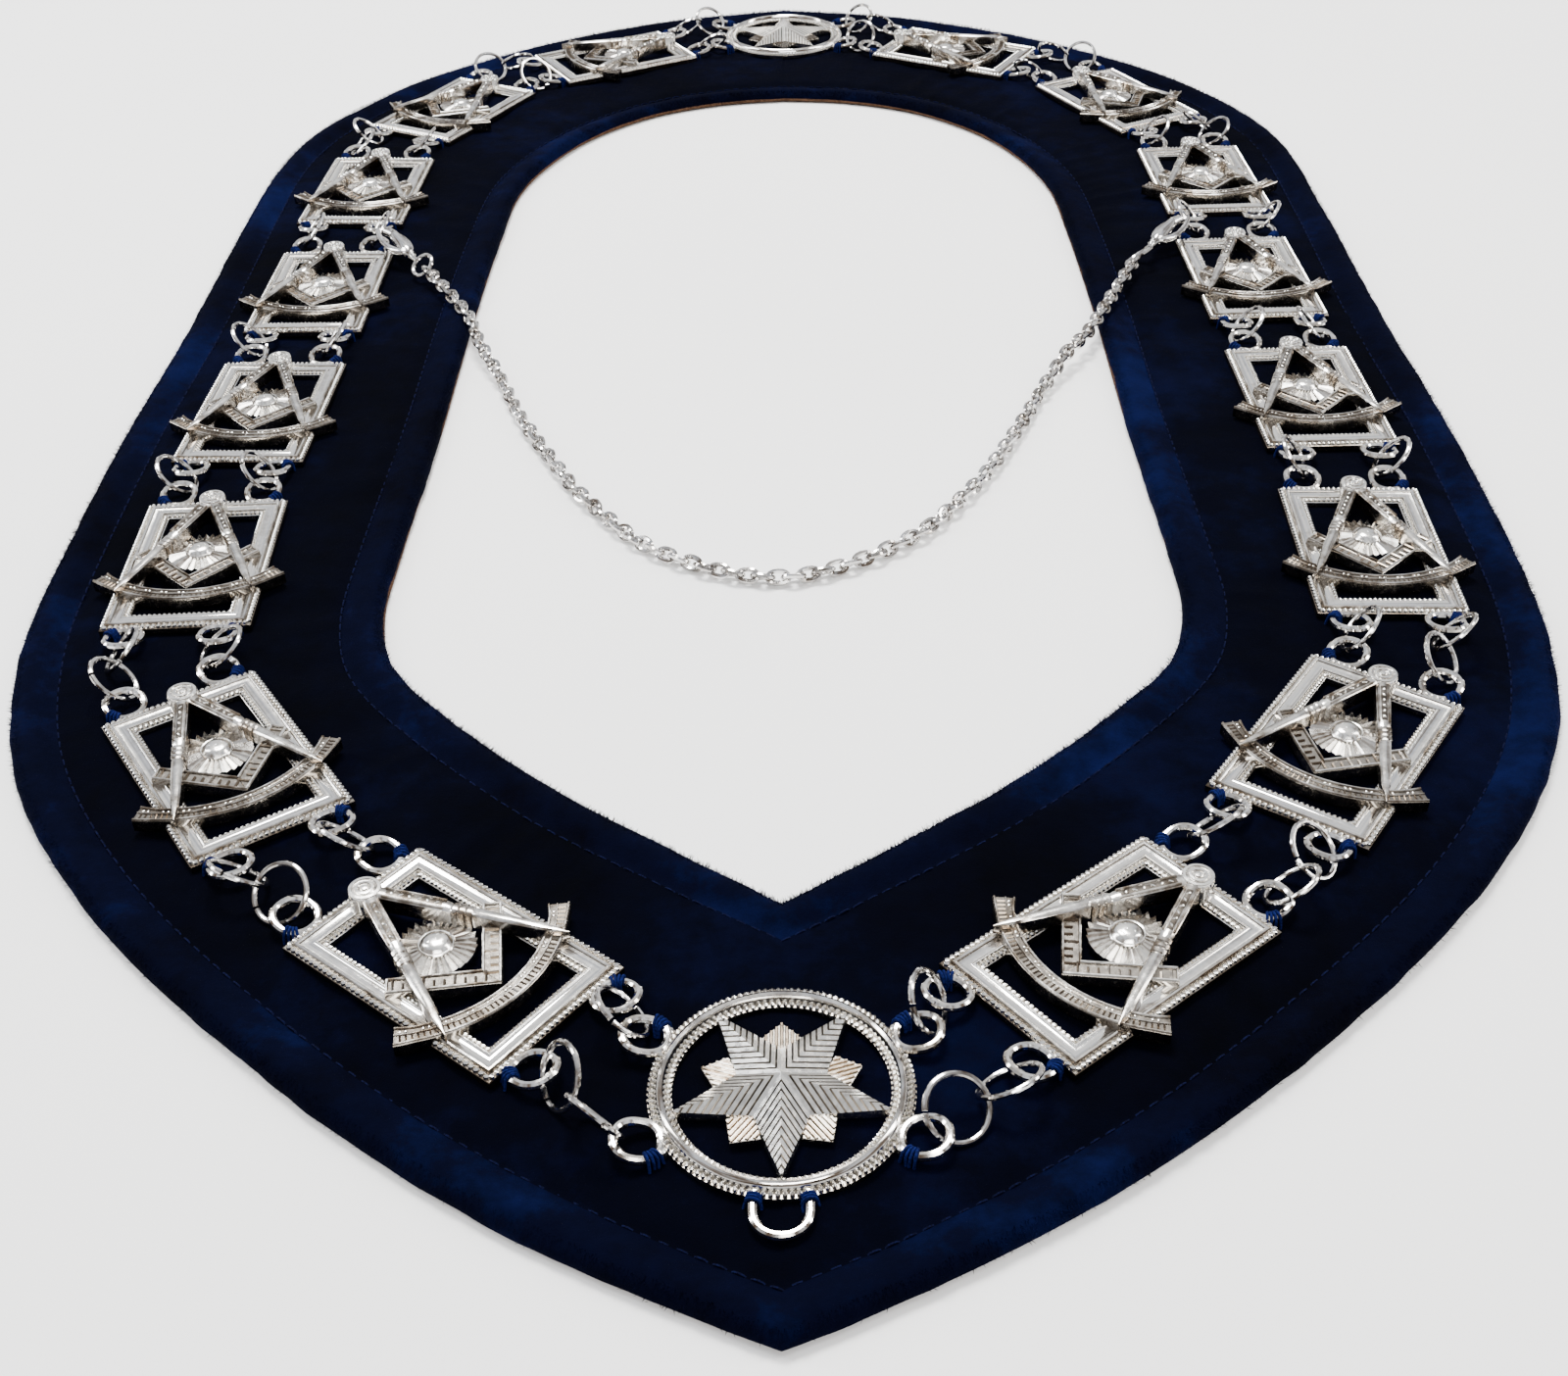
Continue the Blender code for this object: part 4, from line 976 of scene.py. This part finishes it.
def make_velvet(stations, samples):
    """The padded pile with rolled edges, dented where rings press on it."""
    edge_shares = [0.3 * k ** 1.35 for k in range(14)]
    reach = edge_shares[-1]
    middle_steps = 43
    rows = []
    walked = 0.0
    for index, (inner, across, width) in enumerate(stations):
        walked += (inner + across * width - stations[index - 1][0] - stations[index - 1][1] * width).length
        offsets = list(edge_shares)
        offsets += [reach + (width - 2 * reach) * k / middle_steps for k in range(1, middle_steps)]
        offsets += [width - share for share in edge_shares[::-1]]
        row = []
        for offset in offsets:
            near = min(offset, width - offset)
            spot = inner + across * offset
            soft = noise.noise(Vector((spot.x * 0.030, spot.y * 0.030, 1.7)))
            small = noise.noise(Vector((spot.x * 0.16, spot.y * 0.16, 9.1)))
            crease = noise.noise(Vector((walked * 0.075, offset * 0.016, 4.3 if inner.x > 0 else 6.3)))
            fading = min(1.0, max(0.0, (near - 4.0) / 8.0))
            lift = soft * 0.24 + small * 0.08 + (abs(crease) * -0.9 + 0.2) * fading
            push = across * (small * 0.32 + soft * 0.5) * max(0.0, 1 - near / 3.0)
            edge = 1 if offset > width / 2 else -1
            height = edge_height(near) + (lift if near > 0.6 else 0.0)
            if near > PADDING_AT:
                height = min(height, PADDING_LIMIT)
            row.append(spot + push * edge + Vector((0.0, 0.0, height)))
        underside = ((width - 0.5, 0.35), (width - 1.6, 0.03), (width * 0.5, 0.03), (1.2, 0.03), (0.1, 0.5))
        row += [inner + across * offset + Vector((0, 0, height)) for offset, height in underside]
        rows.append(row)
    points = np.array([tuple(point) for row in rows for point in row])
    dent(points, samples)
    shape = Shape()
    wide = len(rows[0])
    below = wide - len(underside)
    edging = 12
    faces = []
    materials = []
    for row in range(len(rows)):
        following = (row + 1) % len(rows)
        for k in range(wide):
            beside = (k + 1) % wide
            faces.append((row * wide + k, following * wide + k,
                          following * wide + beside, row * wide + beside))
            # Faces on the rolled edges take the paler velvet copy, as painted sheen
            on_painted_roll_sheen = k < edging or below - edging - 1 <= k < below
            materials.append(1 if k >= below else 2 if on_painted_roll_sheen else 0)
    shape.add(points, faces, materials)
    mesh = shape.mesh("velvet_band", (VELVET, LINING, VELVET_EDGE_SHEEN), 80.0)
    return place("velvet_band", mesh, "velvet_collar")


def make_nap(stations):
    """Short tufts of pile that stand out along both edges."""
    shape = Shape()
    for index, (inner, across, width) in enumerate(stations):
        after = stations[(index + 1) % len(stations)]
        for edge in (0, 1):
            start = inner + across * width * edge
            end = after[0] + after[1] * after[2] * edge
            out = across if edge else -across
            along = end - start
            for _ in range(max(1, round(along.length * 12))):
                depth = random.uniform(0.0, 2.0)
                spot = start + along * random.random() - out * (depth + 0.1)
                spot.z = edge_height(depth) - random.uniform(0.0, 0.9) * (1 if depth < 0.3 else 0.1)
                way = (out * (1.0 - depth * 0.4) + Vector((0, 0, random.uniform(0.1, 1.0)))
                       + along.normalized() * random.gauss(0, 0.6))
                tip = spot + way.normalized() * random.uniform(0.5, 1.3)
                half = along.normalized() * 0.09
                shape.add([spot - half, spot + half, tip], [(0, 1, 2)])
    # The tufts take the paler velvet copy of the rolls, as painted sheen
    return place("velvet_nap", shape.mesh("velvet_nap", (VELVET_EDGE_SHEEN,)))


def make_stitches(stations):
    """Two rows of small stitches in the grooves along the edges."""
    shape = Shape()
    for edge in ("inner", "outer"):
        line = []
        for inner, across, width in stations:
            offset = GROOVE_AT if edge == "inner" else width - GROOVE_AT
            line.append(inner + across * offset)
        line.append(line[0])
        walked = 0.0
        target = 0.0
        for before, after in zip(line, line[1:]):
            length = (after - before).length
            while length > 0 and target <= walked + length:
                spot = before.lerp(after, (target - walked) / length)
                way = (after - before).normalized()
                path = [spot + way * t + Vector((0, 0, z)) for t, z in
                        ((-1.1, 1.75), (-0.7, 2.02), (0.0, 2.10), (0.7, 2.02), (1.1, 1.75))]
                shape.tube(path, 0.19, 5)
                target += STITCH_PITCH
            walked += length
    return place("edge_stitches", shape.mesh("edge_stitches", (SEAM,)))


def make_whipping():
    """Turns of thread that hold the loops' outer feet down to the velvet."""
    shape = Shape()

    def wrap(spot, ahead):
        across = (ahead - spot).cross(Vector((0, 0, 1))).normalized()
        path = [spot + across * 1.02 * math.cos(b) + Vector((0, 0, 1.02 * math.sin(b)))
                for b in np.linspace(0, math.pi, 9)]
        for where in (1, -1):
            foot = (spot + across * random.uniform(1.05, 1.5) * where
                    + (ahead - spot) * random.uniform(-0.8, 0.8))
            foot.z = 2.1
            path = [foot] + path if where == 1 else path + [foot]
        shape.tube(path, 0.25, 6)

    def whip(matrix, reach, side):
        for angle in (203, 213, 223, 233):
            turned = angle if side < 0 else 540 - angle
            wrap(matrix @ loop_point(reach, turned), matrix @ loop_point(reach, turned + 6))

    for side in (-1, 1):
        for number in range(LINKS_PER_SIDE):
            for end in (-1, 1):
                for k in (-1, 1):
                    whip(link_matrix(side, number) @ link_loop_matrix(end, k), LOOP_REACH, k * end)
    for forward in (FRONT_STAR_Y, BACK_STAR_Y):
        for side in (-1, 1):
            for row in (-1, 1):
                whip(star_matrix(forward) @ star_loop_matrix(side, row), STAR_LOOP_REACH, -side * row)
    bow = [star_matrix(FRONT_STAR_Y) @ point for point in jewel_loop_points()]
    for start, after in ((0, 1), (-1, -2)):
        for share in (0.45, 0.70, 0.95):
            wrap(bow[start].lerp(bow[after], share), bow[after] + (bow[after] - bow[start]))
    return place("thread_whipping", shape.mesh("thread_whipping", (THREAD,)))


# The stage

def make_camera():
    """The photograph's view: 37.4 degrees down, with the photograph's field."""
    data = bpy.data.cameras.new("camera")
    data.sensor_width = 36.0
    data.lens = 1927.30 / 1600 * 36.0
    data.shift_x = -(811.40 - 800.0) / 1600
    data.clip_start = 0.01
    camera = bpy.data.objects.new("camera", data)
    bpy.context.scene.collection.objects.link(camera)
    pitch = math.radians(37.389)
    roll = math.radians(-1.077)
    heading = Vector((-0.00733, 0.99997, 0.0))
    ahead = Vector((heading.x * math.cos(pitch), heading.y * math.cos(pitch), -math.sin(pitch)))
    right = Vector((heading.y, -heading.x, 0.0))
    up = right.cross(ahead)
    turned_right = math.cos(roll) * right + math.sin(roll) * up
    turned_up = -math.sin(roll) * right + math.cos(roll) * up
    matrix = Matrix((turned_right, turned_up, -ahead)).transposed().to_4x4()
    matrix.translation = Vector((0.004484, -0.41523, 0.22101))
    camera.matrix_world = matrix
    bpy.context.scene.camera = camera


def add_light(name, position, target, size, power, colour):
    """A soft rectangular lamp that faces a target."""
    data = bpy.data.lights.new(name, "AREA")
    data.shape = "RECTANGLE"
    data.size, data.size_y = size
    data.energy = power
    data.color = colour
    lamp = bpy.data.objects.new(name, data)
    bpy.context.scene.collection.objects.link(lamp)
    lamp.location = position
    lamp.rotation_euler = (Vector(target) - Vector(position)).to_track_quat("-Z", "Y").to_euler()


def make_stage():
    """A pale floor, soft lamps, and a surround that is plain low down and patchy above."""
    floor_mesh = bpy.data.meshes.new("floor")
    corners = [(x * FLOOR_REACH, y * FLOOR_REACH, FLOOR_LEVEL) for x, y in CORNERS]
    floor_mesh.from_pydata(corners, [], [(0, 1, 2, 3)])
    floor = bpy.data.objects.new("floor", floor_mesh)
    bpy.context.scene.collection.objects.link(floor)
    material, tree, shader, coordinates = new_material("pale_floor")
    grain = noise_value(tree, 6.0, 2.0, coordinates)
    colour = ramp(tree, ((0.0, (0.86, 0.86, 0.86)), (1.0, (0.93, 0.93, 0.93))), grain)
    tree.links.new(colour, shader.inputs["Base Color"])
    shader.inputs["Roughness"].default_value = 0.9
    floor_mesh.materials.append(material)
    world = bpy.data.worlds.new("surround")
    world.use_nodes = True
    bpy.context.scene.world = world
    tree = world.node_tree
    background = tree.nodes["Background"]
    ways = tree.nodes.new("ShaderNodeTexCoord").outputs["Generated"]
    split = tree.nodes.new("ShaderNodeSeparateXYZ")
    tree.links.new(ways, split.inputs["Vector"])
    patches = noise_value(tree, 2.6, 2.0, ways)
    behind = multiply_add(tree, split.outputs["Y"], 0.20, patches)
    rise = multiply_add(tree, split.outputs["Z"], 0.40, behind)
    patchy = ramp(tree, ((0.42, (0.025, 0.018, 0.014)), (0.58, (0.16, 0.11, 0.075)),
                         (0.70, (0.34, 0.32, 0.31)), (0.80, (0.66, 0.70, 0.78)), (0.95, (1.0, 1.0, 1.0))), rise)
    # Low down the surround is plain and pale, and the patches begin above that
    low = tree.nodes.new("ShaderNodeMapRange")
    fill(low, {"From Min": 0.16, "From Max": 0.30})
    tree.links.new(split.outputs["Z"], low.inputs["Value"])
    blend = tree.nodes.new("ShaderNodeMix")
    blend.data_type = "RGBA"
    tree.links.new(low.outputs["Result"], blend.inputs[0])
    blend.inputs[6].default_value = (0.74, 0.74, 0.74, 1.0)
    tree.links.new(patchy, blend.inputs[7])
    tree.links.new(blend.outputs[2], background.inputs["Color"])
    background.inputs["Strength"].default_value = 1.1
    add_light("key", (-0.15, 0.50, 1.30), (0.0, 0.0, 0.0), (0.55, 0.40), 42.0, (1.0, 0.99, 0.97))
    add_light("left", (-1.05, 0.15, 0.75), (0.0, 0.0, 0.0), (0.20, 0.9), 13.0, (0.96, 0.98, 1.0))
    add_light("right", (1.05, 0.05, 0.70), (0.0, 0.0, 0.0), (0.20, 0.9), 12.0, (1.0, 0.97, 0.93))
    add_light("front", (0.15, -0.95, 0.85), (0.0, -0.05, 0.0), (0.8, 0.2), 9.0, (1.0, 0.99, 0.97))


make_camera()
LINK = link_mesh()
for SIDE, SIDE_NAME in ((-1, "left"), (1, "right")):
    for NUMBER in range(LINKS_PER_SIDE):
        LABEL = "link_%s_%d" % (SIDE_NAME, NUMBER + 1)
        place("cast_" + LABEL, LINK, LABEL, metres(link_matrix(SIDE, NUMBER)))
    LABEL = "clasp_%s" % SIDE_NAME
    CLASP = clasp_mesh("lobster_" + LABEL, -SIDE)
    place("lobster_" + LABEL, CLASP, LABEL, metres(clasp_matrix(SIDE)))
place("medallion_front", star_mesh("medallion_front", -1, True), "star_front",
      metres(star_matrix(FRONT_STAR_Y)))
place("medallion_back", star_mesh("medallion_back", 1, False), "star_back",
      metres(star_matrix(BACK_STAR_Y)))
SAMPLES = make_rings()
make_chain()
STATIONS = band_stations()
BAND = make_velvet(STATIONS, SAMPLES)
TRIMS = [make_stitches(STATIONS), make_whipping(), make_nap(STATIONS)]
make_stage()
